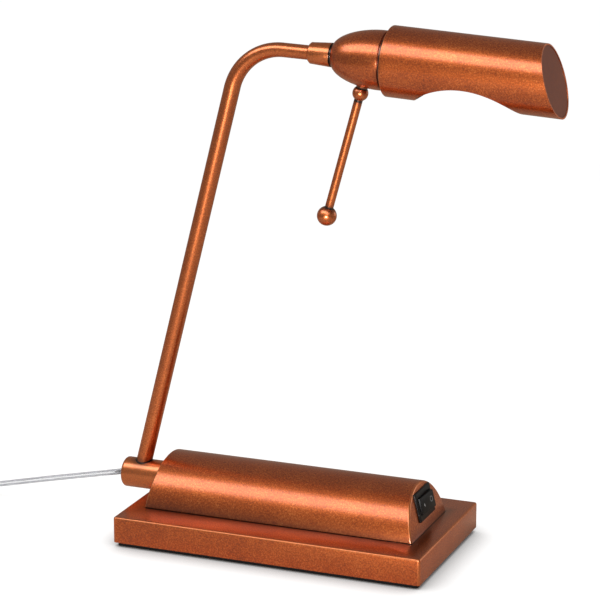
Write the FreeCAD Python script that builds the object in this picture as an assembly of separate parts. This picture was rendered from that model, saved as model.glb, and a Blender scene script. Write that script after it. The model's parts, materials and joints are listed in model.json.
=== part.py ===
"""Piano lamp: weighted base, half-round housing with a rocker switch, swing arm and turning tubular shade.

Millimetres, +Z up. The origin is on the table under the middle of the base, and +X runs along the base
towards the switch end. The arm swings about the hub's X axis, and the head turns about the arm's end.
"""
import FreeCAD
import Part
import math
import os

V = FreeCAD.Vector
X = V(1, 0, 0)
Y = V(0, 1, 0)
Z = V(0, 0, 1)

# Clearances
SEAT = 0.05  # radial, round pieces seated in one another
RUNNING = 0.07  # radial, turning fits
FACE = 0.1  # between faces that turn on each other
SLIP = 0.3  # sheet parts that slip into one another

# Base
BASE_LENGTH = 200.0
BASE_WIDTH = 110.0
BASE_HEIGHT = 16.5
BASE_WALL = 1.5
BASE_CORNER_R = 2.0
BASE_EDGE_R = 1.2
PAD_THICKNESS = 2.5
PAD_INSET = 2.0

# Housing on the base
COVER_SET_LEFT = 10.9  # in from the base's ends
COVER_SET_RIGHT = 13.0
COVER_R = 32.5
COVER_SINK = 4.75
COVER_LEAN_LEFT = 8.5
COVER_LEAN_RIGHT = 14.4
COVER_WALL = 1.2
COVER_EDGE_R = 1.0
STRAP_SET_LEFT = 67.1  # straps in from the housing's ends
STRAP_SET_RIGHT = 45.0
STRAP_WIDTH = 12.0
STRAP_THICKNESS = 1.5
STRAP_LEG = 8.0
STRAP_BOSS_R = 4.0
STRAP_BOSS_H = 4.0

# Screws: shank radius, head radius, head height
M3 = (1.5, 2.8, 1.8)
M4 = (2.0, 3.6, 2.6)
M5 = (2.5, 4.4, 3.0)
COVER_SCREW_LENGTH = 16.0
BRACKET_SCREW_LENGTH = 14.0
CLAMP_SCREW_LENGTH = 8.0
TERMINAL_SCREW_LENGTH = 4.0

# Hub and its pivot
HUB_UP = 10.6  # axis over the base's top
HUB_R = 9.55
HUB_OUT = 27.9  # out of the housing's left end, and in past it
HUB_IN = 9.1
HUB_EDGE_R = 2.0
HUB_BORE_R = 3.9
HUB_THREAD_DEPTH = 12.0
COVER_HOLE_GAP = 0.4
NIPPLE_R = 4.95
NIPPLE_BORE_R = 3.7
NIPPLE_END_CLEAR = 2.0
FRICTION_WASHER_R = 6.6
FRICTION_WASHER_T = 0.8
BRACKET_T = 2.5
BRACKET_HALF_WIDTH = 13.0
BRACKET_FOOT = 27.0
BRACKET_SCREW_SPREAD = 16.0
BRACKET_SCREW_INSET = 6.0
BUSH_R = 6.0
BUSH_FLANGE_R = 7.4
BUSH_FLANGE_T = 1.0
SPRING_R = 7.4
SPRING_T = 0.8
SPRING_RISE = 1.0
NUT_AF = 13.0
NUT_T = 3.5
STOP_PIN_R = 1.0
STOP_PIN_AT = 7.9
STOP_PIN_DEPTH = 5.0
ARM_SWING = 60.0
GROMMET_FLANGE_R = 5.5
GROMMET_FLANGE_T = 1.0
GROMMET_DEPTH = 3.0
GROMMET_HOLE_R = 2.6

# Arm
ARM_FOOT_SET = 10.74  # in from the hub's left end
ARM_LEAN = 14.4
ARM_RISE = 277.75
ARM_FOOT_R = 5.0
ARM_END_R = 4.35
ARM_WALL = 1.0
ARM_BEND_R = 33.0
ARM_FOOT_SEAT = 4.6
ARM_DROOP = 2.24
ARM_REACH = 50.0

# Collar and head joint, measured along the arm's end from the corner of its centre line
COLLAR_SOCKET = 6.5
COLLAR_LENGTH = 14.1
COLLAR_R0 = 6.4
COLLAR_R1 = 7.25
COLLAR_CHAMFER = 1.0
HEAD_NIPPLE_R = 4.95
HEAD_NIPPLE_BORE_R = 3.4
HEAD_NIPPLE_SHORT = 3.55
HEAD_FLANGE_R = 6.4
HEAD_FLANGE_T = 0.8
GROOVE_DEPTH = 1.0
GROOVE_WIDTH = 2.4
GROOVE_FROM_FACE = 3.6
COLLAR_SCREW_R = 1.5
COLLAR_SCREW_TIP_R = 1.0
HEAD_TURN = 90.0

# Dome
DOME_LENGTH = 35.4
DOME_BACK_R = 5.8
DOME_R = 17.67
DOME_CURVE = 29.9
DOME_POWER = 1.84
DOME_WALL = 1.2
HEAD_NUT_AF = 12.5
HEAD_NUT_T = 3.0

# Turning handle on the dome
HANDLE_AT = 18.8
HANDLE_LEAN = 13.2
SPACER_R = 3.4
SPACER_T = 1.2
SMALL_BALL_R = 4.75
SMALL_BALL_FLAT = 3.1
ROD_R = 2.6
ROD_LENGTH = 78.6
KNOB_R = 6.0
STUD_R = 2.0
STUD_INSIDE = 3.2
STUD_NUT_AF = 7.0
STUD_NUT_T = 1.8

# Lampholder and bulb
HOLDER_START = 10.2
HOLDER_CAP_LENGTH = 9.0
HOLDER_CAP_BACK_R = 9.0
HOLDER_R = 11.9
HOLDER_LENGTH = 42.0
HOLDER_WALL = 1.6
HOLDER_FLANGE_R = 15.0
HOLDER_FLANGE_T = 1.6
SLEEVE_R = 7.9
SLEEVE_T = 0.5
SLEEVE_LENGTH = 22.0
BULB_CAP_R = 6.9
BULB_CAP_LENGTH = 24.0
BULB_R = 11.0
BULB_LENGTH = 82.0
BULB_GLASS_T = 0.8
CONTACT_R = 2.6
CONTACT_T = 1.2

# Shade
SHADE_R = 21.03
SHADE_WALL = 1.0
SHADE_LENGTH = 99.96
SHADE_DROOP = 1.01
SHADE_LIFT = 0.13
SHADE_SLANT = 18.6
SCOOP_R = 51.07
SCOOP_AT = 50.56
SCOOP_BELOW = 59.6
CAP_INSET = 0.4
CAP_THICKNESS = 1.0
SHADE_RING_R = 15.5
SHADE_RING_T = 3.5

# Rocker switch, in the plane of the housing's right end
SWITCH_UP = 16.0
BEZEL_WIDTH = 26.2
BEZEL_HEIGHT = 18.0
BEZEL_T = 1.4
BEZEL_RIM_Y = 2.6
BEZEL_RIM_Z = 3.35
BEZEL_CHAMFER = 0.8
SWITCH_BODY_WIDTH = 23.8
SWITCH_BODY_HEIGHT = 14.6
SWITCH_DEPTH = 16.0
SWITCH_FLOOR = 1.6
SWITCH_CLIP = 0.8
ROCKER_GAP = 0.35
ROCKER_PROUD = 1.9
ROCKER_WALL = 1.5
ROCKER_AXIS = -0.6
ROCKER_PIN_R = 1.1
ROCKER_TILT = 5.5
ROCKER_BACK = 4.0
SPADE_WIDTH = 4.8
SPADE_T = 0.8
SPADE_LENGTH = 8.0
SPADE_SPREAD = 10.0

# Terminal block and cord clamp inside the housing
BLOCK_OFF = -2.0  # from the middle between the straps
BLOCK_LENGTH = 18.0
BLOCK_WIDTH = 26.0
BLOCK_HEIGHT = 11.0
BLOCK_POLE = 8.0
BLOCK_GROOVE = 2.0
BLOCK_HOLE_R = 1.9
BLOCK_HOLE_Z = 4.5
CLAMP_SET = 12.0  # past the bracket's foot
CLAMP_LENGTH = 8.0
CLAMP_WIDTH = 24.0
CLAMP_HEIGHT = 5.5
CLAMP_SCREW_SPREAD = 17.0
CORE_R = 1.15
CORE_SPREAD = 2.5
LEAD_R = 0.75
LEAD_SPREAD = 1.7
WIRE_RUN = 8.0  # straight run where a wire sets out or comes in
WIRE_GRIP = 0.3  # share of the block that a wire enters

# Cord, coil and plug
CORD_R = 1.8
CORD_SAG = 0.3  # below the hub axis where it leaves the hub
CORD_ROUTE = ((-48.9, 18.73), (-102.4, 6.17), (-130.2, 2.52), (-146.2, CORD_R), (-158.2, CORD_R))
COIL_TURN_PITCH = 4.85
COIL_LAYER_RISE = 4.4
COIL_OUTER_R = 27.2
COIL_HALF_TURNS = (5, 5, 5, 6)
TAIL_ROUTE = ((-10.0, 0.0), (-24.5, -4.0), (-38.5, -7.65), (-48.0, -8.15), (-57.0, -8.15))
PLUG_WIDTH = 34.0
PLUG_NECK = 13.0
PLUG_HEIGHT = 13.7
PLUG_LENGTH = 34.0
PLUG_EDGE_R = 2.5
RELIEF_R0 = 4.6
RELIEF_R1 = 3.2
RELIEF_LENGTH = 22.0
RELIEF_RIBS = 5
RELIEF_GROOVE = 0.6
PLUG_PIN_R = 2.0
PLUG_PIN_LENGTH = 19.0
PLUG_PIN_SPREAD = 18.6
PLUG_SHANK_R = 1.4
PLUG_SLEEVE_R = 1.8
PLUG_SLEEVE_LENGTH = 10.0

# Levels and places that follow from the sizes
BASE_TOP = PAD_THICKNESS + BASE_HEIGHT
WEIGHT_TOP = BASE_TOP - BASE_WALL
COVER_AXIS_Z = BASE_TOP - COVER_SINK
COVER_LEFT = COVER_SET_LEFT - BASE_LENGTH / 2
COVER_RIGHT = BASE_LENGTH / 2 - COVER_SET_RIGHT
STRAP_AT = (COVER_LEFT + STRAP_SET_LEFT, COVER_RIGHT - STRAP_SET_RIGHT)
BLOCK_X = sum(STRAP_AT) / 2 + BLOCK_OFF
HUB_Z = BASE_TOP + HUB_UP
HUB_LEFT = COVER_LEFT - HUB_OUT
HUB_RIGHT = COVER_LEFT + HUB_IN
WASHER_LEFT = HUB_RIGHT + FACE
BRACKET_LEFT = WASHER_LEFT + FRICTION_WASHER_T + FACE
BRACKET_RIGHT = BRACKET_LEFT + BRACKET_T
CLAMP_X = BRACKET_LEFT + BRACKET_FOOT + CLAMP_SET
BRACKET_BEND_R = HUB_UP - BUSH_FLANGE_R - BRACKET_T - FACE
SPRING_LEFT = BRACKET_RIGHT + BUSH_FLANGE_T + FACE
NUTS_LEFT = SPRING_LEFT + SPRING_T + SPRING_RISE + FACE
NIPPLE_RIGHT = NUTS_LEFT + 2 * NUT_T + FACE + NIPPLE_END_CLEAR
ARM_DIR = V(math.sin(math.radians(ARM_LEAN)), 0, math.cos(math.radians(ARM_LEAN)))
ARM_FOOT = V(HUB_LEFT + ARM_FOOT_SET, 0, HUB_Z)
ARM_CORNER = ARM_FOOT + ARM_DIR * (ARM_RISE / ARM_DIR.z)
END_DIR = V(math.cos(math.radians(ARM_DROOP)), 0, -math.sin(math.radians(ARM_DROOP)))
ARM_TANGENT = ARM_BEND_R * math.tan(math.radians(90 - ARM_LEAN + ARM_DROOP) / 2)
COLLAR_START = ARM_REACH - COLLAR_SOCKET
COLLAR_END = COLLAR_START + COLLAR_LENGTH
DOME_START = COLLAR_END + FACE + HEAD_FLANGE_T
SHADE_START = DOME_START + DOME_LENGTH + FACE
CORD_EXIT = V(HUB_LEFT - GROMMET_FLANGE_T, 0, HUB_Z - CORD_SAG)

# Local frames: the arm's end, the shade and the switch
HEAD = FreeCAD.Placement(ARM_CORNER, FreeCAD.Rotation(Y, ARM_DROOP))
SHADE_ON_HEAD = FreeCAD.Placement(V(SHADE_START, 0, SHADE_LIFT), FreeCAD.Rotation(Y, SHADE_DROOP))
SHADE = HEAD.multiply(SHADE_ON_HEAD)
PANEL_NORMAL = V(math.cos(math.radians(COVER_LEAN_RIGHT)), 0, math.sin(math.radians(COVER_LEAN_RIGHT)))
PANEL_UP = V(-PANEL_NORMAL.z, 0, PANEL_NORMAL.x)
SWITCH = FreeCAD.Placement(V(COVER_RIGHT, 0, BASE_TOP) + PANEL_UP * SWITCH_UP, FreeCAD.Rotation(Y, -COVER_LEAN_RIGHT))


# Shapes used by several pieces
def block(x0, x1, y0, y1, z0, z1):
    return Part.makeBox(x1 - x0, y1 - y0, z1 - z0, V(x0, y0, z0))


def rod(radius, start, end):
    return Part.makeCylinder(radius, (end - start).Length, start, end - start)


def tube(radius, bore, start, end):
    return rod(radius, start, end).cut(rod(bore, start, end))


def turned(points):
    """Solid of revolution about X from (x, radius) corners."""
    return Part.Face(Part.makePolygon([V(x, 0, r) for x, r in points + points[:1]])).revolve(V(), X, 360)


def prism(points, direction):
    """Closed outline pushed along a direction."""
    return Part.Face(Part.makePolygon(points + points[:1])).extrude(direction)


def hexagon(across_flats, start, end):
    """Hexagonal bar between two points."""
    axis = end - start
    turn = FreeCAD.Rotation(Z, axis)
    radius = across_flats / 2 / math.cos(math.pi / 6)
    corners = []
    for i in range(6):
        angle = math.pi / 3 * i
        corners.append(start + turn.multVec(V(radius * math.cos(angle), radius * math.sin(angle), 0)))
    return prism(corners, axis)


def screw(size, length, seat, direction):
    """Pan head screw whose head sits on a seat, with its shank along the direction."""
    shank, head, height = size
    direction = V(direction).normalize()
    top = seat - direction * height
    cap = rod(head, top, seat)
    rim = [e for e in cap.Edges if e.BoundBox.Center.distanceToPoint(top) < SEAT]
    cap = cap.makeChamfer(height / 3, rim)
    slot = block(-head, head, -shank / 4, shank / 4, -shank / 3, shank)
    slot.Placement = FreeCAD.Placement(top, FreeCAD.Rotation(Z, -direction))
    return cap.fuse(rod(shank - SEAT, seat, seat + direction * length)).cut(slot).removeSplitter()


def rounded_block(shape, edge_r, picks):
    return shape.makeFillet(edge_r, [e for e in shape.Edges if picks(e)])


def upright(edge):
    return abs(edge.tangentAt(edge.FirstParameter).z) > 0.99


def edges_at(shape, axis, value):
    """Edges that lie in the plane where that coordinate has the value."""
    found = []
    for edge in shape.Edges:
        box = edge.BoundBox
        low, high = getattr(box, axis + "Min"), getattr(box, axis + "Max")
        if abs(low - value) < 0.01 and abs(high - value) < 0.01:
            found.append(edge)
    return found


def routed(points):
    """Straight runs joined by arcs as large as the runs allow, and the radii of the arcs."""
    edges, radii, last = [], [], points[0]
    for before, corner, after in zip(points, points[1:], points[2:]):
        a, b = (corner - before), (after - corner)
        half = a.getAngle(b) / 2
        reach = 0.45 * min(a.Length, b.Length)
        radii.append(reach / math.tan(half))
        a, b = V(a).normalize(), V(b).normalize()
        start, end = corner - a * reach, corner + b * reach
        outward = (a - b).normalize()
        middle = corner - outward * (radii[-1] * (1 / math.cos(half) - 1))
        edges.append(Part.LineSegment(last, start).toShape())
        edges.append(Part.Arc(start, middle, end).toShape())
        last = end
    edges.append(Part.LineSegment(last, points[-1]).toShape())
    return Part.Wire(edges), radii


def wire_tube(path, radius, start, direction):
    """Round section of that radius swept along a path."""
    section = Part.Wire(Part.makeCircle(radius, start, direction))
    return path.makePipeShell([section], True, False)


def wiring(points, radius):
    path, radii = routed(points)
    return wire_tube(path, radius, points[0], points[1] - points[0]), path, radii


# Base
def base_holes(radius_of):
    """Vertical holes for the screws of the straps and of the bracket."""
    holes = [(V(x, 0, 0), M4) for x in STRAP_AT]
    holes += [(V(x, y, 0), M5) for x, y in bracket_screw_places()]
    return [(place, radius_of(size)) for place, size in holes]


def bracket_screw_places():
    x = BRACKET_LEFT + BRACKET_FOOT - BRACKET_SCREW_INSET
    return [(x, -BRACKET_SCREW_SPREAD / 2), (x, BRACKET_SCREW_SPREAD / 2)]


def clamp_screw_places():
    return [(CLAMP_X, -CLAMP_SCREW_SPREAD / 2), (CLAMP_X, CLAMP_SCREW_SPREAD / 2)]


def tapped_places():
    """Holes for the screws of the clamp and of the terminal block, with their radii."""
    places = [(x, y, M3[0]) for x, y in clamp_screw_places()]
    return places + [(fixing.x, fixing.y, M3[0] / 2) for fixing in block_fixings()]


def base_shell():
    x, y = BASE_LENGTH / 2, BASE_WIDTH / 2
    shell = rounded_block(block(-x, x, -y, y, PAD_THICKNESS, BASE_TOP), BASE_CORNER_R, upright)
    shell = shell.makeFillet(BASE_EDGE_R, edges_at(shell, "Z", BASE_TOP))
    x, y = x - BASE_WALL, y - BASE_WALL
    shell = shell.cut(block(-x, x, -y, y, PAD_THICKNESS, WEIGHT_TOP))
    for place, radius in base_holes(lambda size: size[0] + SLIP):
        shell = shell.cut(rod(radius, place, place + Z * (BASE_TOP + 1)))
    for x, y, radius in tapped_places():
        shell = shell.cut(rod(radius, V(x, y, WEIGHT_TOP - 1), V(x, y, BASE_TOP + 1)))
    return shell


def base_weight():
    x, y = BASE_LENGTH / 2 - BASE_WALL - SLIP, BASE_WIDTH / 2 - BASE_WALL - SLIP
    slab = rounded_block(block(-x, x, -y, y, PAD_THICKNESS, WEIGHT_TOP), BASE_CORNER_R, upright)
    slab = slab.makeChamfer(BASE_EDGE_R, edges_at(slab, "Z", PAD_THICKNESS))
    for at in STRAP_AT:
        seat = V(at, 0, cover_screw_seat())
        slab = slab.cut(rod(M4[0] + SLIP, V(at, 0, 0), V(at, 0, WEIGHT_TOP)))
        slab = slab.cut(rod(M4[1] + SLIP, V(at, 0, 0), seat))
    for x, y in bracket_screw_places():
        bottom = BASE_TOP + BRACKET_T - BRACKET_SCREW_LENGTH - 1
        slab = slab.cut(rod(M5[0], V(x, y, bottom), V(x, y, WEIGHT_TOP)))
    for x, y, radius in tapped_places():
        bottom = BASE_TOP - CLAMP_SCREW_LENGTH - 1
        slab = slab.cut(rod(radius, V(x, y, bottom), V(x, y, WEIGHT_TOP)))
    return slab


def base_pad():
    x, y = BASE_LENGTH / 2 - PAD_INSET, BASE_WIDTH / 2 - PAD_INSET
    return rounded_block(block(-x, x, -y, y, 0, PAD_THICKNESS), BASE_CORNER_R, upright)


# Housing
def housing_solid(inset):
    """Half-round bar with leaning ends, drawn in by an inset all round."""
    radius = COVER_R - inset
    left = COVER_LEFT + inset / math.cos(math.radians(COVER_LEAN_LEFT))
    right = COVER_RIGHT - inset / math.cos(math.radians(COVER_LEAN_RIGHT))
    bar = rod(radius, V(left, 0, COVER_AXIS_Z), V(right, 0, COVER_AXIS_Z))
    top = BASE_TOP + COVER_R
    left_in = COVER_R * math.tan(math.radians(COVER_LEAN_LEFT))
    right_in = COVER_R * math.tan(math.radians(COVER_LEAN_RIGHT))
    side = [V(left, -COVER_R, BASE_TOP), V(right, -COVER_R, BASE_TOP)]
    side += [V(right - right_in, -COVER_R, top), V(left + left_in, -COVER_R, top)]
    return bar.common(prism(side, Y * (2 * COVER_R)))


def cover_screw_seat():
    return BASE_TOP + STRAP_THICKNESS + STRAP_BOSS_H - COVER_SCREW_LENGTH


def cover_shell():
    outer = housing_solid(0)
    arcs = [e for e in outer.Edges if e.BoundBox.ZMin < BASE_TOP + 0.01 < e.BoundBox.ZMax - 1]
    outer = outer.makeFillet(COVER_EDGE_R, arcs)
    shell = outer.cut(housing_solid(COVER_WALL))
    hub_hole = rod(HUB_R + COVER_HOLE_GAP, V(COVER_LEFT - 1, 0, HUB_Z), V(HUB_RIGHT, 0, HUB_Z))
    y, z = SWITCH_BODY_WIDTH / 2 + FACE, SWITCH_BODY_HEIGHT / 2 + FACE
    window = block(-2 * COVER_WALL, COVER_WALL, -y, y, -z, z)
    window.Placement = SWITCH
    return shell.cut(hub_hole).cut(window)


def cover_straps():
    """Cross straps with upturned legs against the housing and a threaded boss."""
    straps = []
    inner = COVER_R - COVER_WALL - FACE
    for at in STRAP_AT:
        x0, x1 = at - STRAP_WIDTH / 2, at + STRAP_WIDTH / 2
        start, end = V(x0, 0, COVER_AXIS_Z), V(x1, 0, COVER_AXIS_Z)
        band = tube(inner, inner - STRAP_THICKNESS, start, end)
        legs = band.common(block(x0, x1, -inner, inner, BASE_TOP, BASE_TOP + STRAP_LEG))
        plate = rod(inner, start, end).common(block(x0, x1, -inner, inner, BASE_TOP, BASE_TOP + STRAP_THICKNESS))
        top = BASE_TOP + STRAP_THICKNESS + STRAP_BOSS_H
        boss = rod(STRAP_BOSS_R, V(at, 0, BASE_TOP), V(at, 0, top))
        hole = rod(M4[0], V(at, 0, 0), V(at, 0, top))
        straps.append(plate.fuse([legs, boss]).cut(hole).removeSplitter())
    return straps


def cover_screws():
    return [screw(M4, COVER_SCREW_LENGTH, V(at, 0, cover_screw_seat()), Z) for at in STRAP_AT]


# Hub and pivot
def on_hub(x):
    return V(x, 0, HUB_Z)


def pivot_barrel():
    barrel = rod(HUB_R, on_hub(HUB_LEFT), on_hub(HUB_RIGHT))
    barrel = barrel.makeFillet(HUB_EDGE_R, edges_at(barrel, "X", HUB_LEFT))
    barrel = barrel.cut(rod(HUB_BORE_R, on_hub(HUB_LEFT), on_hub(HUB_RIGHT)))
    barrel = barrel.cut(rod(NIPPLE_R + SEAT, on_hub(HUB_RIGHT - HUB_THREAD_DEPTH), on_hub(HUB_RIGHT)))
    barrel = barrel.cut(rod(ARM_FOOT_R + SEAT, ARM_FOOT, ARM_FOOT + ARM_DIR * (2 * HUB_R)))
    pin = stop_pin_line()
    return barrel.cut(rod(STOP_PIN_R + SEAT, pin[0], pin[1]))


def stop_pin_line():
    z = HUB_Z + STOP_PIN_AT
    return V(HUB_RIGHT - STOP_PIN_DEPTH, 0, z), V(BRACKET_RIGHT - FACE, 0, z)


def stop_pin():
    return rod(STOP_PIN_R, *stop_pin_line())


def arc_slot(x0, x1, ring_r, half_width, half_angle):
    """Slot round the hub axis, centred on straight up, with round ends."""
    start, end = on_hub(x0), on_hub(x1)
    ring = tube(ring_r + half_width, ring_r - half_width, start, end)
    wedge_r = 2 * (ring_r + half_width)
    points = [on_hub(x0)]
    for i in range(5):
        angle = math.radians(half_angle * (i / 2 - 1))
        points.append(V(x0, wedge_r * math.sin(angle), HUB_Z + wedge_r * math.cos(angle)))
    slot = ring.common(prism(points, end - start))
    for side in (-1, 1):
        angle = math.radians(half_angle * side)
        shift = V(0, ring_r * math.sin(angle), ring_r * math.cos(angle))
        slot = slot.fuse(rod(half_width, start + shift, end + shift))
    return slot


def pivot_bracket():
    x0, x1 = BRACKET_LEFT, BRACKET_RIGHT
    half = BRACKET_HALF_WIDTH
    foot = block(x0, x0 + BRACKET_FOOT, -half, half, BASE_TOP, BASE_TOP + BRACKET_T)
    plate = block(x0, x1, -half, half, BASE_TOP, HUB_Z + half)
    plate = plate.common(rod(half, on_hub(x0), on_hub(x1)).fuse(block(x0, x1, -half, half, BASE_TOP, HUB_Z)))
    bend = block(x1, x1 + BRACKET_BEND_R, -half, half, BASE_TOP + BRACKET_T, BASE_TOP + BRACKET_T + BRACKET_BEND_R)
    centre = V(x1 + BRACKET_BEND_R, -half, BASE_TOP + BRACKET_T + BRACKET_BEND_R)
    bend = bend.cut(rod(BRACKET_BEND_R, centre, centre + Y * (2 * half)))
    bracket = foot.fuse([plate, bend]).removeSplitter()
    bracket = bracket.cut(rod(BUSH_R + SEAT, on_hub(x0), on_hub(x1)))
    bracket = bracket.cut(arc_slot(x0, x1, STOP_PIN_AT, STOP_PIN_R + FACE, ARM_SWING))
    for x, y in bracket_screw_places():
        bracket = bracket.cut(rod(M5[0] + SLIP, V(x, y, BASE_TOP), V(x, y, BASE_TOP + BRACKET_T)))
    return bracket


def bracket_screws():
    seat = BASE_TOP + BRACKET_T
    return [screw(M5, BRACKET_SCREW_LENGTH, V(x, y, seat), -Z) for x, y in bracket_screw_places()]


def pivot_bush():
    body = rod(BUSH_R, on_hub(BRACKET_LEFT), on_hub(BRACKET_RIGHT))
    flange = rod(BUSH_FLANGE_R, on_hub(BRACKET_RIGHT), on_hub(BRACKET_RIGHT + BUSH_FLANGE_T))
    bore = rod(NIPPLE_R + RUNNING, on_hub(BRACKET_LEFT), on_hub(SPRING_LEFT))
    return body.fuse(flange).cut(bore).removeSplitter()


def pivot_nipple():
    left = HUB_RIGHT - HUB_THREAD_DEPTH + FACE
    return tube(NIPPLE_R, NIPPLE_BORE_R, on_hub(left), on_hub(NIPPLE_RIGHT))


def friction_washer():
    right = WASHER_LEFT + FRICTION_WASHER_T
    return tube(FRICTION_WASHER_R, NIPPLE_R + RUNNING, on_hub(WASHER_LEFT), on_hub(right))


def pivot_spring():
    """Cone washer, wide edge on the bush's flange."""
    x, bore = SPRING_LEFT, NIPPLE_R + SEAT
    cone = turned([(x, SPRING_R), (x + SPRING_T, SPRING_R), (x + SPRING_T + SPRING_RISE, bore), (x + SPRING_RISE, bore)])
    cone.translate(Z * HUB_Z)
    return cone


def pivot_nuts():
    nuts = []
    for i in range(2):
        left = NUTS_LEFT + i * (NUT_T + FACE)
        nut = hexagon(NUT_AF, on_hub(left), on_hub(left + NUT_T))
        nuts.append(nut.cut(rod(NIPPLE_R + SEAT, on_hub(left), on_hub(left + NUT_T))))
    return nuts


def cord_grommet():
    flange_left = HUB_LEFT - GROMMET_FLANGE_T
    flange = rod(GROMMET_FLANGE_R, on_hub(flange_left), on_hub(HUB_LEFT))
    flange = flange.makeFillet(GROMMET_FLANGE_T / 2, edges_at(flange, "X", flange_left))
    body = rod(HUB_BORE_R - SEAT, on_hub(HUB_LEFT), on_hub(HUB_LEFT + GROMMET_DEPTH))
    hole = rod(GROMMET_HOLE_R, on_hub(flange_left), on_hub(HUB_LEFT + GROMMET_DEPTH))
    return flange.fuse(body).cut(hole).removeSplitter()


# Arm
def bend_arc(start, end, along_start, along_end):
    """Quarter-like arc that leaves and arrives along the two directions."""
    half = along_start.getAngle(along_end) / 2
    radius = (end - start).Length / 2 / math.sin(half)
    middle = (start + end) * 0.5 + (along_start - along_end).normalize() * (radius * (1 - math.cos(half)))
    return Part.Wire(Part.Arc(start, middle, end).toShape())


def arm_rod(foot_r, end_r, foot, end):
    """Round arm with one bend, of one radius below the bend and another past it."""
    bend_start = ARM_CORNER - ARM_DIR * ARM_TANGENT
    bend_end = ARM_CORNER + END_DIR * ARM_TANGENT
    arc = bend_arc(bend_start, bend_end, ARM_DIR, END_DIR)
    shell = Part.BRepOffsetAPI.MakePipeShell(arc)
    shell.add(Part.Wire(Part.makeCircle(foot_r, bend_start, ARM_DIR)))
    shell.add(Part.Wire(Part.makeCircle(end_r, bend_end, END_DIR)))
    shell.build()
    shell.makeSolid()
    return rod(foot_r, foot, bend_start).fuse([shell.shape(), rod(end_r, bend_end, end)])


def arm_tube():
    foot = ARM_FOOT + ARM_DIR * ARM_FOOT_SEAT
    end = ARM_CORNER + END_DIR * ARM_REACH
    outer = arm_rod(ARM_FOOT_R, ARM_END_R, foot, end)
    bore = arm_rod(ARM_FOOT_R - ARM_WALL, ARM_END_R - ARM_WALL, foot - ARM_DIR, end + END_DIR)
    return outer.cut(bore)


def arm_lead():
    """Two cores from the hub up through the arm to the lampholder."""
    cores = []
    entry = V(NIPPLE_RIGHT, 0, HUB_Z + lead_height())
    turn = ARM_FOOT + ARM_DIR * (lead_height() / ARM_DIR.z)
    finish = HEAD.multVec(V(DOME_START + HOLDER_START + HOLDER_CAP_LENGTH - FACE, 0, 0))
    small, large = 4 * LEAD_R, ARM_BEND_R
    path = [Part.LineSegment(entry, turn + X * corner_reach(small, -X, ARM_DIR)).toShape()]
    path.append(corner(turn, -X, ARM_DIR, small))
    above = turn + ARM_DIR * corner_reach(small, -X, ARM_DIR)
    path.append(Part.LineSegment(above, ARM_CORNER - ARM_DIR * ARM_TANGENT).toShape())
    path.append(corner(ARM_CORNER, ARM_DIR, END_DIR, large))
    path.append(Part.LineSegment(ARM_CORNER + END_DIR * ARM_TANGENT, finish).toShape())
    core = wire_tube(Part.Wire(path), LEAD_R, entry, -X)
    for side in (-1, 1):
        cores.append(core.translated(Y * (side * LEAD_SPREAD / 2)))
    return cores


def lead_height():
    """Height of the two cores over the hub axis, where they clear the cord inside the nipple's bore."""
    return math.sqrt((NIPPLE_BORE_R - LEAD_R - FACE) ** 2 - (LEAD_SPREAD / 2) ** 2)


def corner_reach(radius, a, b):
    return radius * math.tan(a.getAngle(b) / 2)


def corner(point, a, b, radius):
    """Arc of that radius round a corner between two directions."""
    reach = corner_reach(radius, a, b)
    return bend_arc(point - a * reach, point + b * reach, a, b).Edges[0]


def cord_tail():
    """The cord from the hub's left end along the hub axis and under the clamp."""
    slope = (CORD_EXIT - cord_points()[1]).normalize()
    low = BASE_TOP + CORD_R + FACE
    points = [CORD_EXIT, CORD_EXIT + slope * ((HUB_Z - CORD_EXIT.z) / slope.z)]
    points += [on_hub(NIPPLE_RIGHT + CORD_R), V(CLAMP_X - CLAMP_LENGTH, 0, low), V(sheath_end(), 0, low)]
    return wiring(points, CORD_R)[0]


def sheath_end():
    return CLAMP_X + CLAMP_LENGTH / 2 + CORD_R


# Head joint
def in_head(shape):
    shape.Placement = HEAD.multiply(shape.Placement)
    return shape


def along(x):
    return V(x, 0, 0)


def arm_collar():
    x0, x1 = COLLAR_START, COLLAR_END
    body = turned([(x0, 0), (x0, COLLAR_R0 - COLLAR_CHAMFER), (x0 + COLLAR_CHAMFER, COLLAR_R0), (x1, COLLAR_R1), (x1, 0)])
    body = body.cut(rod(ARM_END_R + SEAT, along(x0), along(ARM_REACH + SEAT)))
    body = body.cut(rod(HEAD_NIPPLE_R + RUNNING, along(ARM_REACH + SEAT), along(x1)))
    at = x1 - GROOVE_FROM_FACE
    body = body.cut(rod(COLLAR_SCREW_R + SEAT, along(at), along(at) + Y * (2 * COLLAR_R1)))
    return in_head(body)


def collar_screw():
    at = along(COLLAR_END - GROOVE_FROM_FACE)
    tip = HEAD_NIPPLE_R - GROOVE_DEPTH + FACE
    body = rod(COLLAR_SCREW_R, at + Y * (HEAD_NIPPLE_R + RUNNING), at + Y * (COLLAR_R0 + SLIP))
    point = rod(COLLAR_SCREW_TIP_R, at + Y * tip, at + Y * (HEAD_NIPPLE_R + RUNNING))
    return in_head(body.fuse(point).removeSplitter())


def head_nipple():
    """Hollow tube with a flange, and a groove whose ends stop the turn."""
    x0, x1 = ARM_REACH + SEAT + FACE, SKIRT_X - HEAD_NIPPLE_SHORT
    body = rod(HEAD_NIPPLE_R, along(x0), along(x1))
    body = body.fuse(rod(HEAD_FLANGE_R, along(COLLAR_END + FACE), along(DOME_START)))
    at = COLLAR_END - GROOVE_FROM_FACE
    body = body.cut(groove(at - GROOVE_WIDTH / 2, at + GROOVE_WIDTH / 2))
    return in_head(body.cut(rod(HEAD_NIPPLE_BORE_R, along(x0), along(x1))).removeSplitter())


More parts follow.
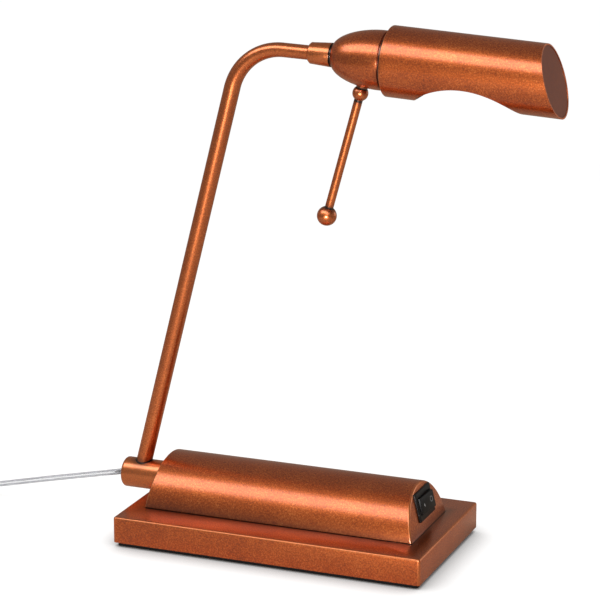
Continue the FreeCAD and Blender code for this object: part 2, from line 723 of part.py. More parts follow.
def groove(x0, x1):
    """Ring cut that leaves a land opposite the screw, as wide as the turn leaves."""
    floor_r = HEAD_NIPPLE_R - GROOVE_DEPTH
    ring = tube(2 * HEAD_NIPPLE_R, floor_r, along(x0), along(x1))
    free = HEAD_TURN + math.degrees(math.asin((COLLAR_SCREW_TIP_R + FACE) / floor_r))
    reach = 4 * HEAD_NIPPLE_R
    land = [along(x0)]
    for i in range(3):
        angle = math.radians(free + (180 - free) * i)
        land.append(V(x0, reach * math.cos(angle), reach * math.sin(angle)))
    return ring.cut(prism(land, X * (x1 - x0)))


def dome_place(radius):
    """Distance from the dome's back face at which its outer radius is reached."""
    share = (radius - DOME_BACK_R) / (DOME_R - DOME_BACK_R)
    return DOME_CURVE * (1 - (1 - share**DOME_POWER) ** (1 / DOME_POWER))


def head_nut():
    """Nut inside the dome, its corners against the curve."""
    corner_r = HEAD_NUT_AF / 2 / math.cos(math.pi / 6)
    x0 = DOME_START + DOME_WALL + dome_place(corner_r + DOME_WALL + FACE)
    nut = hexagon(HEAD_NUT_AF, along(x0), along(x0 + HEAD_NUT_T))
    return in_head(nut.cut(rod(HEAD_NIPPLE_R + SEAT, along(x0), along(x0 + HEAD_NUT_T))))


# Dome
def dome_radius(x):
    """Outer radius of the dome at a distance from its back face."""
    left = 1 - min(x / DOME_CURVE, 1)
    return DOME_BACK_R + (DOME_R - DOME_BACK_R) * (1 - left**DOME_POWER) ** (1 / DOME_POWER)


def dome_stop(angle):
    """Point of the bell curve and its direction, from 0 at the back to 90 at the straight rim."""
    turn, power = math.radians(angle), 2 / DOME_POWER
    x = DOME_CURVE * (1 - max(math.cos(turn), 0) ** power)
    way = V(DOME_CURVE * math.sin(turn) ** (2 - power), 0, (DOME_R - DOME_BACK_R) * max(math.cos(turn), 0) ** (2 - power))
    return V(DOME_START + x, 0, dome_radius(x)), way.normalize()


def bell_arcs(inset):
    """Tangent arcs along the bell curve, drawn in by an inset."""
    arcs = []
    stops = [dome_stop(angle) for angle in (0, 35, 62, 90)]
    stops = [(point + V(way.z, 0, -way.x) * inset, way) for point, way in stops]
    for (a, leave), (b, arrive) in zip(stops, stops[1:]):
        v, t, k = b - a, leave + arrive, 2 * (1 - leave.dot(arrive))
        reach = (math.sqrt(v.dot(t) ** 2 + k * v.dot(v)) - v.dot(t)) / k
        joint = (a + b + (leave - arrive) * reach) * 0.5
        arcs.append(tangent_arc(a, leave, joint))
        arcs.append(tangent_arc(joint, b - a - t * reach, b))
    return arcs


def dome_solid(inset):
    """Bell of revolution, drawn in by an inset and running on past the shade's end wall."""
    edges = bell_arcs(inset)
    back, rim = edges[0].Vertexes[0].Point, edges[-1].Vertexes[-1].Point
    end = SHADE_START + DOME_R * math.sin(math.radians(SHADE_DROOP))
    edges.append(Part.LineSegment(rim, V(end, 0, rim.z)).toShape())
    edges.append(Part.LineSegment(V(end, 0, rim.z), V(end, 0, 0)).toShape())
    edges.append(Part.LineSegment(V(end, 0, 0), V(back.x, 0, 0)).toShape())
    edges.append(Part.LineSegment(V(back.x, 0, 0), back).toShape())
    return Part.Face(Part.Wire(edges)).revolve(V(), X, 360)


def head_dome():
    """Bell whose mouth is trimmed parallel to the shade's end wall."""
    big = 4 * DOME_R
    past = block(-FACE, big, -big, big, -big, big)
    past.Placement = SHADE_ON_HEAD
    dome = dome_solid(0).cut(dome_solid(DOME_WALL)).cut(past)
    dome = dome.cut(rod(HEAD_NIPPLE_R + SEAT, along(DOME_START - 1), along(DOME_START + 2 * DOME_WALL)))
    root, way = handle_line()
    dome = dome.cut(rod(STUD_R + SEAT, root - way * (2 * STUD_INSIDE), root + way))
    return in_head(dome)


# Handle
def handle_line():
    """Point on the dome's underside where the handle stands, and its outward direction."""
    lean = math.radians(HANDLE_LEAN)
    return V(DOME_START + HANDLE_AT, 0, -dome_radius(HANDLE_AT)), V(-math.sin(lean), 0, -math.cos(lean))


def ball_centre():
    root, way = handle_line()
    return root + way * (SPACER_T + SMALL_BALL_FLAT)


def handle_spacer():
    root, way = handle_line()
    ring = rod(SPACER_R, root - way * SPACER_R, root + way * SPACER_T).cut(dome_solid(-FACE / 2))
    ring = max(ring.Solids, key=lambda s: s.CenterOfMass.dot(way))
    return in_head(ring.cut(rod(STUD_R + SEAT, root - way * SPACER_R, root + way * SPACER_T)))


def handle_small_ball():
    root, way = handle_line()
    centre = ball_centre()
    ball = Part.makeSphere(SMALL_BALL_R, centre)
    ball = ball.cut(rod(2 * SMALL_BALL_R, root - way * SMALL_BALL_R, root + way * SPACER_T))
    ball = ball.cut(rod(STUD_R + SEAT, root, root + way * (SPACER_T + SMALL_BALL_FLAT)))
    return in_head(ball.cut(rod(ROD_R + SEAT, centre + way * (SMALL_BALL_R / 2), centre + way * (2 * SMALL_BALL_R))))


def handle_stud():
    root, way = handle_line()
    return in_head(rod(STUD_R, root - way * (DOME_WALL + STUD_INSIDE), root + way * (SPACER_T + SMALL_BALL_FLAT - FACE)))


def handle_nut():
    root, way = handle_line()
    start = root - way * (DOME_WALL + 2 * FACE)
    nut = hexagon(STUD_NUT_AF, start, start - way * STUD_NUT_T).cut(rod(STUD_R + SEAT, start, start - way * STUD_NUT_T))
    return in_head(nut.common(dome_solid(DOME_WALL)))


def handle_rod():
    way = handle_line()[1]
    centre = ball_centre()
    return in_head(rod(ROD_R, centre + way * (SMALL_BALL_R / 2 + FACE), centre + way * (ROD_LENGTH - FACE)))


def handle_knob():
    way = handle_line()[1]
    centre = ball_centre() + way * ROD_LENGTH
    return in_head(Part.makeSphere(KNOB_R, centre).cut(rod(ROD_R + SEAT, centre - way * (2 * KNOB_R), centre)))


# Lampholder and bulb
HOLDER_X = DOME_START + HOLDER_START
SKIRT_X = HOLDER_X + HOLDER_CAP_LENGTH
HOLDER_END = HOLDER_X + HOLDER_LENGTH
FLANGE_X = SHADE_START - SLIP - HOLDER_FLANGE_T
SLEEVE_X = HOLDER_END - SLEEVE_LENGTH
BULB_X = SLEEVE_X + CONTACT_T + FACE


def lampholder_cap():
    x0, x1 = HOLDER_X, SKIRT_X
    inner = HOLDER_R - HOLDER_WALL
    cap = turned([(x0, 0), (x0, HOLDER_CAP_BACK_R), (x0 + HOLDER_R - HOLDER_CAP_BACK_R, HOLDER_R), (x1, HOLDER_R), (x1, 0)])
    cap = cap.cut(rod(inner, along(x0 + HOLDER_WALL + HOLDER_R - HOLDER_CAP_BACK_R), along(x1)))
    return in_head(cap.cut(rod(HEAD_NIPPLE_R + SEAT, along(x0), along(x1))))


def lampholder_skirt():
    x0, x1 = SKIRT_X + FACE, HOLDER_END
    skirt = rod(HOLDER_R, along(x0), along(x1))
    skirt = skirt.fuse(rod(HOLDER_FLANGE_R, along(FLANGE_X), along(FLANGE_X + HOLDER_FLANGE_T)))
    floor_end = SLEEVE_X
    skirt = skirt.cut(rod(SLEEVE_R + SEAT, along(floor_end), along(x1)))
    return in_head(skirt.cut(rod(CONTACT_R + SEAT, along(x0), along(floor_end))).removeSplitter())


def lampholder_sleeve():
    return in_head(tube(SLEEVE_R, SLEEVE_R - SLEEVE_T, along(SLEEVE_X + FACE), along(HOLDER_END - FACE)))


def lampholder_contact():
    return in_head(rod(CONTACT_R, along(SKIRT_X + FACE), along(SLEEVE_X + CONTACT_T)))


def bulb_cap():
    end = BULB_X + BULB_CAP_LENGTH
    return in_head(rod(BULB_CAP_R, along(BULB_X + CONTACT_T), along(end)))


def bulb_contact():
    return in_head(rod(CONTACT_R, along(BULB_X), along(BULB_X + CONTACT_T)))


def bulb_outline(radius, x0, x1):
    """Tubular bulb: a neck at the cap, straight sides and a domed end."""
    neck = BULB_CAP_R - SEAT - (BULB_R - radius)
    shoulder = BULB_R - BULB_CAP_R
    edges = [Part.LineSegment(V(x0, 0, 0), V(x0, 0, neck)).toShape()]
    edges.append(Part.LineSegment(V(x0, 0, neck), V(x0 + shoulder, 0, radius)).toShape())
    edges.append(Part.LineSegment(V(x0 + shoulder, 0, radius), V(x1 - radius, 0, radius)).toShape())
    middle = V(x1 - radius + radius * math.sin(math.pi / 4), 0, radius * math.cos(math.pi / 4))
    edges.append(Part.Arc(V(x1 - radius, 0, radius), middle, V(x1, 0, 0)).toShape())
    edges.append(Part.LineSegment(V(x1, 0, 0), V(x0, 0, 0)).toShape())
    return Part.Face(Part.Wire(edges)).revolve(V(), X, 360)


def bulb_glass():
    x0, x1 = BULB_X + BULB_CAP_LENGTH + FACE, BULB_X + BULB_LENGTH
    outer = bulb_outline(BULB_R, x0, x1)
    return in_head(outer.cut(bulb_outline(BULB_R - BULB_GLASS_T, x0 + BULB_GLASS_T, x1 - BULB_GLASS_T)))


# Shade
def in_shade(shape):
    shape.Placement = SHADE.multiply(shape.Placement)
    return shape


def slanted_end(set_back):
    """Everything past the slanted end plane, moved inward by a distance along the shade."""
    big = 4 * SHADE_R
    slab = block(0, big, -big, big, -big, big)
    slab.Placement = FreeCAD.Placement(along(SHADE_LENGTH - set_back), FreeCAD.Rotation(Y, -SHADE_SLANT))
    return slab


def shade_tube():
    length = SHADE_LENGTH + SHADE_R
    shell = rod(SHADE_R, V(), along(length)).cut(slanted_end(0))
    bore = rod(SHADE_R - SHADE_WALL, along(SHADE_WALL), along(length))
    scoop = V(SCOOP_AT, -2 * SHADE_R, -SCOOP_BELOW)
    shell = shell.cut(bore).cut(rod(SCOOP_R, scoop, scoop + Y * (4 * SHADE_R)))
    return in_shade(shell.cut(rod(HOLDER_R + 2 * SLIP, along(-1), along(2 * SHADE_WALL))))


def shade_end_cap():
    length = SHADE_LENGTH + SHADE_R
    disc = rod(SHADE_R - SHADE_WALL - SEAT, V(), along(length))
    return in_shade(disc.cut(slanted_end(CAP_INSET)).common(slanted_end(CAP_INSET + CAP_THICKNESS)))


def shade_ring():
    x0 = SHADE_START + SHADE_WALL + SLIP
    ring = turned([(x0, HOLDER_R + SEAT), (x0, SHADE_RING_R), (x0 + SHADE_RING_T, SHADE_RING_R - 1), (x0 + SHADE_RING_T, HOLDER_R + SEAT)])
    return in_head(ring)


# Rocker switch
def in_switch(shape):
    shape.Placement = SWITCH.multiply(shape.Placement)
    return shape


def switch_housing():
    """Bezel with a chamfered edge, body with snap clips, open at the front for the rocker."""
    y, z = BEZEL_WIDTH / 2, BEZEL_HEIGHT / 2
    bezel = block(0, BEZEL_T, -y, y, -z, z)
    bezel = bezel.makeChamfer(BEZEL_CHAMFER, edges_at(bezel, "X", BEZEL_T))
    by, bz = SWITCH_BODY_WIDTH / 2, SWITCH_BODY_HEIGHT / 2
    body = block(-SWITCH_DEPTH, 0, -by, by, -bz, bz)
    clips = []
    for side in (-1, 1):
        outline = [V(-COVER_WALL - FACE, side * by, -bz / 2), V(-COVER_WALL - FACE, side * (by + SWITCH_CLIP), -bz / 2)]
        outline.append(V(-COVER_WALL - 4 * SWITCH_CLIP, side * by, -bz / 2))
        clips.append(prism(outline, Z * bz))
    housing = bezel.fuse([body] + clips).removeSplitter()
    oy, oz = y - BEZEL_RIM_Y, z - BEZEL_RIM_Z
    housing = housing.cut(block(SWITCH_FLOOR - SWITCH_DEPTH, BEZEL_T, -oy, oy, -oz, oz))
    axis = along(ROCKER_AXIS)
    housing = housing.cut(rod(ROCKER_PIN_R + RUNNING, axis - Z * (bz - FACE), axis + Z * (bz - FACE)))
    for side in (-1, 1):
        housing = housing.cut(spade(side, SWITCH_DEPTH, SEAT))
    return in_switch(housing)


def spade(side, depth, gap):
    y = side * SPADE_SPREAD / 2
    half = SPADE_WIDTH / 2 + gap
    thick = SPADE_T / 2 + gap
    return block(-depth - SPADE_LENGTH, -depth + SWITCH_FLOOR + gap, y - thick, y + thick, -half, half)


def switch_terminals():
    return [in_switch(spade(side, SWITCH_DEPTH, 0)) for side in (-1, 1)]


def switch_rocker():
    """Rocker at rest with the I end pressed and the O end raised."""
    oy, oz = BEZEL_WIDTH / 2 - BEZEL_RIM_Y, BEZEL_HEIGHT / 2 - BEZEL_RIM_Z
    half = oz - ROCKER_GAP
    front = BEZEL_T + ROCKER_PROUD
    body = block(-ROCKER_BACK, front, -oy, oy, -half, half)
    body = body.common(rod(oy - ROCKER_GAP, V(ROCKER_AXIS, 0, -half), V(ROCKER_AXIS, 0, half)))
    body = body.cut(block(-2 * ROCKER_BACK, front - ROCKER_WALL, -oy / 2, oy / 2, -half / 2, half / 2))
    reach = SWITCH_BODY_HEIGHT / 2 - 2 * FACE
    for side in (-1, 1):
        body = body.fuse(rod(ROCKER_PIN_R, V(ROCKER_AXIS, 0, side * half / 2), V(ROCKER_AXIS, 0, side * reach)))
    body = body.removeSplitter()
    body.rotate(along(ROCKER_AXIS), Z, -ROCKER_TILT)
    return in_switch(body)


# Wiring inside the housing
def pole(i):
    """Entry of one of the three poles at the left face of the block, counted from the front."""
    return V(BLOCK_X - BLOCK_LENGTH / 2, (i - 1) * BLOCK_POLE, BASE_TOP + BLOCK_HOLE_Z)


def terminal_screw_places():
    top = Z * (BLOCK_HEIGHT - BLOCK_HOLE_Z)
    return [pole(i) + top + X * (BLOCK_LENGTH * share) for i in range(3) for share in (0.25, 0.75)]


def block_fixings():
    return [V(BLOCK_X, side * BLOCK_POLE / 2, BASE_TOP + BLOCK_HEIGHT / 2) for side in (-1, 1)]


def terminal_block():
    x0, x1 = BLOCK_X - BLOCK_LENGTH / 2, BLOCK_X + BLOCK_LENGTH / 2
    y, top = BLOCK_WIDTH / 2, BASE_TOP + BLOCK_HEIGHT
    body = block(x0, x1, -y, y, BASE_TOP, top)
    for fixing in block_fixings():
        body = body.cut(block(x0, x1, fixing.y - BLOCK_GROOVE / 2, fixing.y + BLOCK_GROOVE / 2, fixing.z, top))
        body = body.cut(rod(M3[1] / 2 + SLIP, fixing, fixing + Z * BLOCK_HEIGHT))
        body = body.cut(rod(M3[0] / 2 + SLIP, fixing - Z * BLOCK_HEIGHT, fixing))
    for i in range(3):
        body = body.cut(rod(BLOCK_HOLE_R, pole(i), pole(i) + X * BLOCK_LENGTH))
    for place in terminal_screw_places():
        body = body.cut(rod(M3[0] + SEAT, V(place.x, place.y, pole(0).z), place))
    return body


def terminal_screws():
    """Grub screws that hold the cores, and two small screws that hold the block."""
    screws = []
    for place in terminal_screw_places():
        tip = V(place.x, place.y, pole(0).z + CORE_R + FACE)
        screws.append(rod(M3[0], tip, place - Z))
    for fixing in block_fixings():
        screws.append(screw((M3[0] / 2, M3[1] / 2, M3[2] / 2), BLOCK_HEIGHT / 2 + TERMINAL_SCREW_LENGTH, fixing, -Z))
    return screws


def cord_clamp():
    x0, x1 = CLAMP_X - CLAMP_LENGTH / 2, CLAMP_X + CLAMP_LENGTH / 2
    top = BASE_TOP + CLAMP_HEIGHT
    bar = block(x0, x1, -CLAMP_WIDTH / 2, CLAMP_WIDTH / 2, BASE_TOP, top)
    bar = bar.makeFillet(1.0, edges_at(bar, "Z", top))
    bar = bar.cut(block(x0, x1, -CORD_R - FACE, CORD_R + FACE, BASE_TOP, BASE_TOP + 2 * (CORD_R + FACE)))
    for x, y in clamp_screw_places():
        bar = bar.cut(rod(M3[0] + SLIP, V(x, y, BASE_TOP), V(x, y, top)))
    return bar


def clamp_screws():
    seat = BASE_TOP + CLAMP_HEIGHT
    return [screw(M3, CLAMP_HEIGHT + CLAMP_SCREW_LENGTH, V(x, y, seat), -Z) for x, y in clamp_screw_places()]


def mains_wires():
    """Cores of the cord from the clamp past the strap's boss to two poles of the block."""
    start = V(sheath_end() + FACE, 0, BASE_TOP + CORD_R + FACE)
    beside = STRAP_AT[0] - STRAP_BOSS_R
    wires = []
    for side, i in ((-1, 0), (1, 1)):
        first = start + Y * (side * CORE_SPREAD / 2)
        aside = V(beside, side * (STRAP_BOSS_R + 2 * CORE_R), pole(i).z)
        entry = pole(i)
        points = [first, first + X * (WIRE_RUN * 3 / 8), aside, aside + X * (1.5 * STRAP_BOSS_R), entry - X * (WIRE_RUN / 2)]
        points.append(entry + X * (BLOCK_LENGTH * WIRE_GRIP))
        wires.append(wiring(points, CORE_R)[0])
    return wires


def lamp_wires():
    """The lamp's two cores from the nipple to the last pole and, round the block, to the first."""
    start = V(NIPPLE_RIGHT + SLIP, 0, HUB_Z + lead_height())
    over = start.z + LEAD_R
    near, far = pole(2), pole(0) + X * BLOCK_LENGTH
    first = start + Y * (LEAD_SPREAD / 2)
    points = [first, first + X * WIRE_RUN, V(CLAMP_X, near.y, over), V(near.x - 1.5 * WIRE_RUN, near.y, over)]
    points += [near - X * (WIRE_RUN * 5 / 8), near + X * (BLOCK_LENGTH * WIRE_GRIP)]
    wires = [wiring(points, LEAD_R)[0]]
    first = start - Y * (LEAD_SPREAD / 2)
    side = -BLOCK_WIDTH / 2 - 4 * LEAD_R
    points = [first, first + X * WIRE_RUN, V(CLAMP_X, side, over), V(near.x - WIRE_RUN, side, over), V(near.x, side, far.z)]
    points += [V(far.x + WIRE_RUN, side, far.z), V(far.x + WIRE_RUN, far.y, far.z), far - X * (BLOCK_LENGTH * WIRE_GRIP)]
    wires.append(wiring(points, LEAD_R)[0])
    return wires


def switch_wires():
    """Wires with flat sockets from the switch's tabs back to the block."""
    wires = []
    for side, i in ((-1, 1), (1, 2)):
        end = pole(i) + X * BLOCK_LENGTH
        tip = SWITCH.multVec(V(-SWITCH_DEPTH - SPADE_LENGTH, side * SPADE_SPREAD / 2, 0))
        level = tip - PANEL_NORMAL * (WIRE_RUN / 2)
        points = [end - X * (BLOCK_LENGTH * WIRE_GRIP), end + X * (WIRE_RUN * 3 / 4)]
        points.append(V(STRAP_AT[1] - STRAP_WIDTH / 2, (end.y + tip.y) / 2, level.z))
        points += [level, tip - PANEL_NORMAL * FACE]
        wire = wiring(points, CORE_R)[0]
        wires.append(wire.fuse(spade_socket(side)).removeSplitter())
    return wires


def spade_socket(side):
    y = side * SPADE_SPREAD / 2
    tip, mouth = -SWITCH_DEPTH - SPADE_LENGTH, -SWITCH_DEPTH - 1
    half = SPADE_WIDTH / 2
    socket = block(tip - 2, mouth, y - 2 * SPADE_T, y + 2 * SPADE_T, -half - SPADE_T, half + SPADE_T)
    thick = SPADE_T / 2 + SEAT
    socket = socket.cut(block(tip - SEAT, mouth, y - thick, y + thick, -half - SEAT, half + SEAT))
    return in_switch(socket)


# Cord, coil and plug
def cord_points():
    return [CORD_EXIT] + [V(CORD_EXIT.x + x, 0, z) for x, z in CORD_ROUTE]


def mains_cord():
    solid, path, radii = wiring(cord_points(), CORD_R)
    print("mains_cord radii", [round(r) for r in radii], "length", round(path.Length, 1))
    print("mains_cord volume over section times length", round(solid.Volume / (math.pi * CORD_R**2 * path.Length), 4))
    return solid


def half_turn(start, along_start, end):
    """Two tangent arcs that turn a cord round by half a turn."""
    chord = end - start
    middle = (start + end) * 0.5 + along_start * (chord.Length / 2)
    way = V(chord).normalize()
    arcs = []
    for a, b, tangent in ((start, middle, along_start), (middle, end, way)):
        arcs.append(tangent_arc(a, tangent, b))
    return arcs


def tangent_arc(start, tangent, end):
    chord = end - start
    half = tangent.getAngle(chord)
    side = V(chord).normalize()
    bulge = (tangent - side * tangent.dot(side)).normalize()
    rise = chord.Length / 2 * math.tan(half / 2)
    return Part.Arc(start, (start + end) * 0.5 + bulge * rise, end).toShape()


def coil_radii():
    """Radius and level at each half turn: in and out in turn, a layer up where the spiral reverses."""
    radius, level, inward = COIL_OUTER_R, 0, True
    stops = [(radius, level)]
    for i, halves in enumerate(COIL_HALF_TURNS):
        if i:
            level += 1
            stops.append((radius, level))
        for _ in range(halves):
            radius += -COIL_TURN_PITCH / 2 if inward else COIL_TURN_PITCH / 2
            stops.append((radius, level))
        inward = not inward
    return stops


def coil_path():
    last = cord_points()[-1]
    start = last - X * (2 * CORD_R)
    centre = start - Y * COIL_OUTER_R
    edges = [Part.LineSegment(last, start).toShape()]
    stops = coil_radii()
    for i, (radius, level) in enumerate(stops[1:]):
        way = 1 if i % 2 else -1
        end = V(centre.x, centre.y + way * radius, last.z + level * COIL_LAYER_RISE)
        edges += half_turn(start, X * way, end)
        start = end
    edges.append(Part.LineSegment(start, start - X * (2 * CORD_R)).toShape())
    return Part.Wire(edges)


def cord_coil():
    path = coil_path()
    first = path.Edges[0].Vertexes[0].Point
    coil = wire_tube(path, CORD_R, first, -X)
    points = path.discretize(Distance=CORD_R)
    step = path.Length / (len(points) - 1)
    apart = int(6 * CORD_R / step) + 1
    least = min(a.distanceToPoint(b) for i, a in enumerate(points) for b in points[i + apart :])
    print("cord_coil length", round(path.Length, 1), "least gap", round(least - 2 * CORD_R, 2))
    print("cord_coil volume over section times length", round(coil.Volume / (math.pi * CORD_R**2 * path.Length), 4))
    return coil


def tail_points():
    start = coil_path().Edges[-1].Vertexes[-1].Point
    return [start] + [start + V(x, 0, z) for x, z in TAIL_ROUTE]


def plug_cord():
    solid, path, radii = wiring(tail_points(), CORD_R)
    print("plug_cord radii", [round(r) for r in radii], "length", round(path.Length, 1))
    return solid


def plug_at():
    """Middle of the plug's rear face."""
    end = tail_points()[-1]
    return V(end.x - RELIEF_LENGTH, end.y, end.z)


def plug_body():
    rear = plug_at()
    z0 = rear.z - PLUG_HEIGHT / 2
    shoulder = PLUG_LENGTH * 0.7
    outline = [(0, PLUG_NECK / 2), (-shoulder, PLUG_WIDTH / 2), (-PLUG_LENGTH, PLUG_WIDTH / 2)]
    corners = [V(rear.x + x, rear.y + y, z0) for x, y in outline]
    corners += [V(rear.x + x, rear.y - y, z0) for x, y in reversed(outline)]
    body = prism(corners, Z * PLUG_HEIGHT)
    body = body.makeFillet(PLUG_EDGE_R, [e for e in body.Edges if e.BoundBox.XMax - e.BoundBox.XMin > 1])
    for side in (-1, 1):
        root = V(rear.x - PLUG_LENGTH, rear.y + side * PLUG_PIN_SPREAD / 2, rear.z)
        body = body.fuse(rod(PLUG_SLEEVE_R, root + X, root - X * PLUG_SLEEVE_LENGTH))
        body = body.cut(rod(PLUG_SHANK_R + SEAT, root + X * PLUG_PIN_LENGTH / 2, root - X * PLUG_SLEEVE_LENGTH))
    return body.removeSplitter()


def plug_relief():
    """Ribbed cone that guides the cord into the plug."""
    rear = plug_at()
    step = RELIEF_LENGTH / (2 * RELIEF_RIBS)
    profile = [(0, 0)]
    for i in range(2 * RELIEF_RIBS):
        radius = RELIEF_R0 + (RELIEF_R1 - RELIEF_R0) * i / (2 * RELIEF_RIBS)
        radius -= (i % 2) * RELIEF_GROOVE
        profile += [(i * step, radius), ((i + 1) * step, radius)]
    profile.append((RELIEF_LENGTH, 0))
    relief = turned(profile)
    relief.translate(rear)
    return relief


def plug_pins():
    """Two round pins, each on a thinner shank through the plug's insulating sleeve."""
    rear = plug_at()
    pins = []
    for side in (-1, 1):
        root = V(rear.x - PLUG_LENGTH, rear.y + side * PLUG_PIN_SPREAD / 2, rear.z)
        bare = root - X * (PLUG_SLEEVE_LENGTH + FACE)
        pin = rod(PLUG_PIN_R, bare, root - X * PLUG_PIN_LENGTH)
        pin = pin.makeFillet(PLUG_PIN_R * 0.6, edges_at(pin, "X", root.x - PLUG_PIN_LENGTH))
        pins.append(pin.fuse(rod(PLUG_SHANK_R, root + X * (PLUG_PIN_LENGTH / 2 - FACE), bare - X)).removeSplitter())
    return pins


PIECES = (
    base_pad, base_shell, base_weight,
    cover_shell, cover_straps, cover_screws,
    pivot_barrel, stop_pin, pivot_bracket, bracket_screws, pivot_bush, pivot_nipple,
    friction_washer, pivot_spring, pivot_nuts, cord_grommet,
    arm_tube, arm_lead, cord_tail,
    arm_collar, collar_screw, head_nipple, head_nut, head_dome,
    handle_spacer, handle_small_ball, handle_stud, handle_nut, handle_rod, handle_knob,
    lampholder_cap, lampholder_skirt, lampholder_sleeve, lampholder_contact,
    bulb_cap, bulb_contact, bulb_glass,
    shade_tube, shade_end_cap, shade_ring,
    switch_housing, switch_rocker, switch_terminals,
    terminal_block, terminal_screws, cord_clamp, clamp_screws, mains_wires, lamp_wires, switch_wires,
    mains_cord, cord_coil, plug_cord, plug_body, plug_relief, plug_pins,
)

os.makedirs("parts", exist_ok=True)
for piece in PIECES:
    shape = piece()
    if isinstance(shape, list):
        shape = Part.makeCompound(shape)
    if not shape.isValid() or not shape.Solids:
        raise ValueError(piece.__name__ + " is not a sound solid")
    shape.exportStep("parts/" + piece.__name__ + ".step")
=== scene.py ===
"""Piano lamp in antique copper: base, housing with a rocker switch, swing arm, tubular shade, clear cord."""
import json
import math

import bmesh
import bpy
from mathutils import Matrix, Vector


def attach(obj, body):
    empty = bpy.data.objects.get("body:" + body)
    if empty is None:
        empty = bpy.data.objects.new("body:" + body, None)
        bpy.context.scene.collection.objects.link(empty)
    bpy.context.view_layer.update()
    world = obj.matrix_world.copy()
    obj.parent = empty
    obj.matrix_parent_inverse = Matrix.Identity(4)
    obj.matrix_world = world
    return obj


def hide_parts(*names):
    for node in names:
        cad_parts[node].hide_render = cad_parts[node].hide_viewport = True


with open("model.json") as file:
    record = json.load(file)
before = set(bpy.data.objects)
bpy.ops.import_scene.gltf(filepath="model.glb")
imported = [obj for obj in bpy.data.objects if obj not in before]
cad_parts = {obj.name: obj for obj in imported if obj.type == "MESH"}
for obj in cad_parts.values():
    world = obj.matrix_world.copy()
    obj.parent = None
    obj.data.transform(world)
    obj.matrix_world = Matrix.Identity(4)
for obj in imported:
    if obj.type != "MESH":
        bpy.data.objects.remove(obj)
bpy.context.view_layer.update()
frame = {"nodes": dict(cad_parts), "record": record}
nodes = frame["nodes"]

MM = 0.001
X, Y, Z = Vector((1, 0, 0)), Vector((0, 1, 0)), Vector((0, 0, 1))

# Sizes in millimetres, as the solids have them
BASE = (200.0, 110.0, 2.5, 19.0)
PAD = (196.0, 106.0, 0.0, 2.5)
COVER_R, COVER_AXIS_Z = 32.5, 14.25
COVER_LEFT, COVER_RIGHT, COVER_FOOT = -89.1, 87.0, 32.15
LEAN_LEFT, LEAN_RIGHT = 8.5, 14.4
HUB_Z, HUB_R, HUB_LEFT, HUB_RIGHT = 29.6, 9.55, -117.0, -80.0
ARM_FOOT_X, ARM_LEAN, ARM_RISE = -106.26, 14.4, 277.75
ARM_DROOP, ARM_BEND_R, ARM_REACH = 2.24, 33.0, 50.0
ARM_FOOT_R, ARM_END_R, ARM_FOOT_SEAT = 5.0, 4.35, 4.6
COLLAR = (43.5, 57.6, 6.4, 7.25, 1.0)
DOME_START, DOME_LENGTH, DOME_WALL = 58.5, 35.4, 1.2
DOME_BACK_R, DOME_R, DOME_CURVE, DOME_POWER = 5.8, 17.67, 29.9, 1.84
GROOVE_WIDTH, GROOVE_DEPTH = 2.3, 0.9
SHADE_START, SHADE_LIFT, SHADE_DROOP = 94.0, 0.13, 1.01
SHADE_R, SHADE_WALL, SHADE_LENGTH, SHADE_SLANT = 21.03, 1.0, 99.96, 18.6
SCOOP_R, SCOOP_AT, SCOOP_BELOW = 51.07, 50.56, 59.6
HANDLE_AT, HANDLE_LEAN, HANDLE_JOINTS = 18.8, 13.2, (0.9, 9.0, 77.3)
SPACER_R, SPACER_T, SPACER_SUNK = 3.4, 1.2, 0.9
SMALL_BALL_R, SMALL_BALL_FLAT, ROD_R, ROD_LENGTH, KNOB_R = 4.75, 3.1, 2.6, 78.6, 6.0
SWITCH_UP = 16.0
BEZEL, OPENING, WELL = (26.2, 18.0, 1.4), (21.0, 11.3), (21.4, 11.7, 14.4)
KEY_PIVOT, KEY_FRONT, KEY_BACK, KEY_R, KEY_HALF, KEY_TILT = -0.6, 3.3, -4.0, 10.15, 5.3, 5.5
CORD_D = 3.6
LOBE_R, LOBE_AT, WEB_HALF, STRANDS_R = 0.85, 0.95, 0.55, 0.45

# The cord's route: exit, run to the table, coil, tail up to the plug
CORD_EXIT = (-118.0, 0.0, 29.3)
CORD_ROUTE = ((-166.9, 18.73), (-220.4, 6.17), (-248.2, 2.52), (-264.2, 1.8), (-276.2, 1.8))
COIL_TURN_PITCH, COIL_LAYER_RISE, COIL_OUTER_R = 4.85, 4.4, 27.2
COIL_HALF_TURNS = (5, 5, 5, 6)
COIL_POINTS = 8
TAIL_ROUTE = ((-10.0, 0.0), (-24.5, -4.0), (-38.5, -7.65), (-48.0, -8.15), (-57.0, -8.15))
CORD_TWIST, CORD_FLAT_X, CORD_ON_EDGE_X = 75.0, -250.0, -200.0

# Places
ARM_DIR = Vector((math.sin(math.radians(ARM_LEAN)), 0, math.cos(math.radians(ARM_LEAN))))
ARM_FOOT = Vector((ARM_FOOT_X, 0, HUB_Z))
ARM_CORNER = ARM_FOOT + ARM_DIR * (ARM_RISE / ARM_DIR.z)
HEAD = Matrix.Translation(ARM_CORNER) @ Matrix.Rotation(math.radians(ARM_DROOP), 4, "Y")
SHADE = HEAD @ Matrix.Translation((SHADE_START, 0, SHADE_LIFT)) @ Matrix.Rotation(math.radians(SHADE_DROOP), 4, "Y")
PANEL_UP = Vector((-math.sin(math.radians(LEAN_RIGHT)), 0, math.cos(math.radians(LEAN_RIGHT))))
SWITCH = Matrix.Translation(Vector((COVER_RIGHT, 0, BASE[3])) + PANEL_UP * SWITCH_UP)
SWITCH = SWITCH @ Matrix.Rotation(math.radians(-LEAN_RIGHT), 4, "Y")
HUB = Matrix.Translation((0, 0, HUB_Z))
FLAT = Matrix.Identity(4)


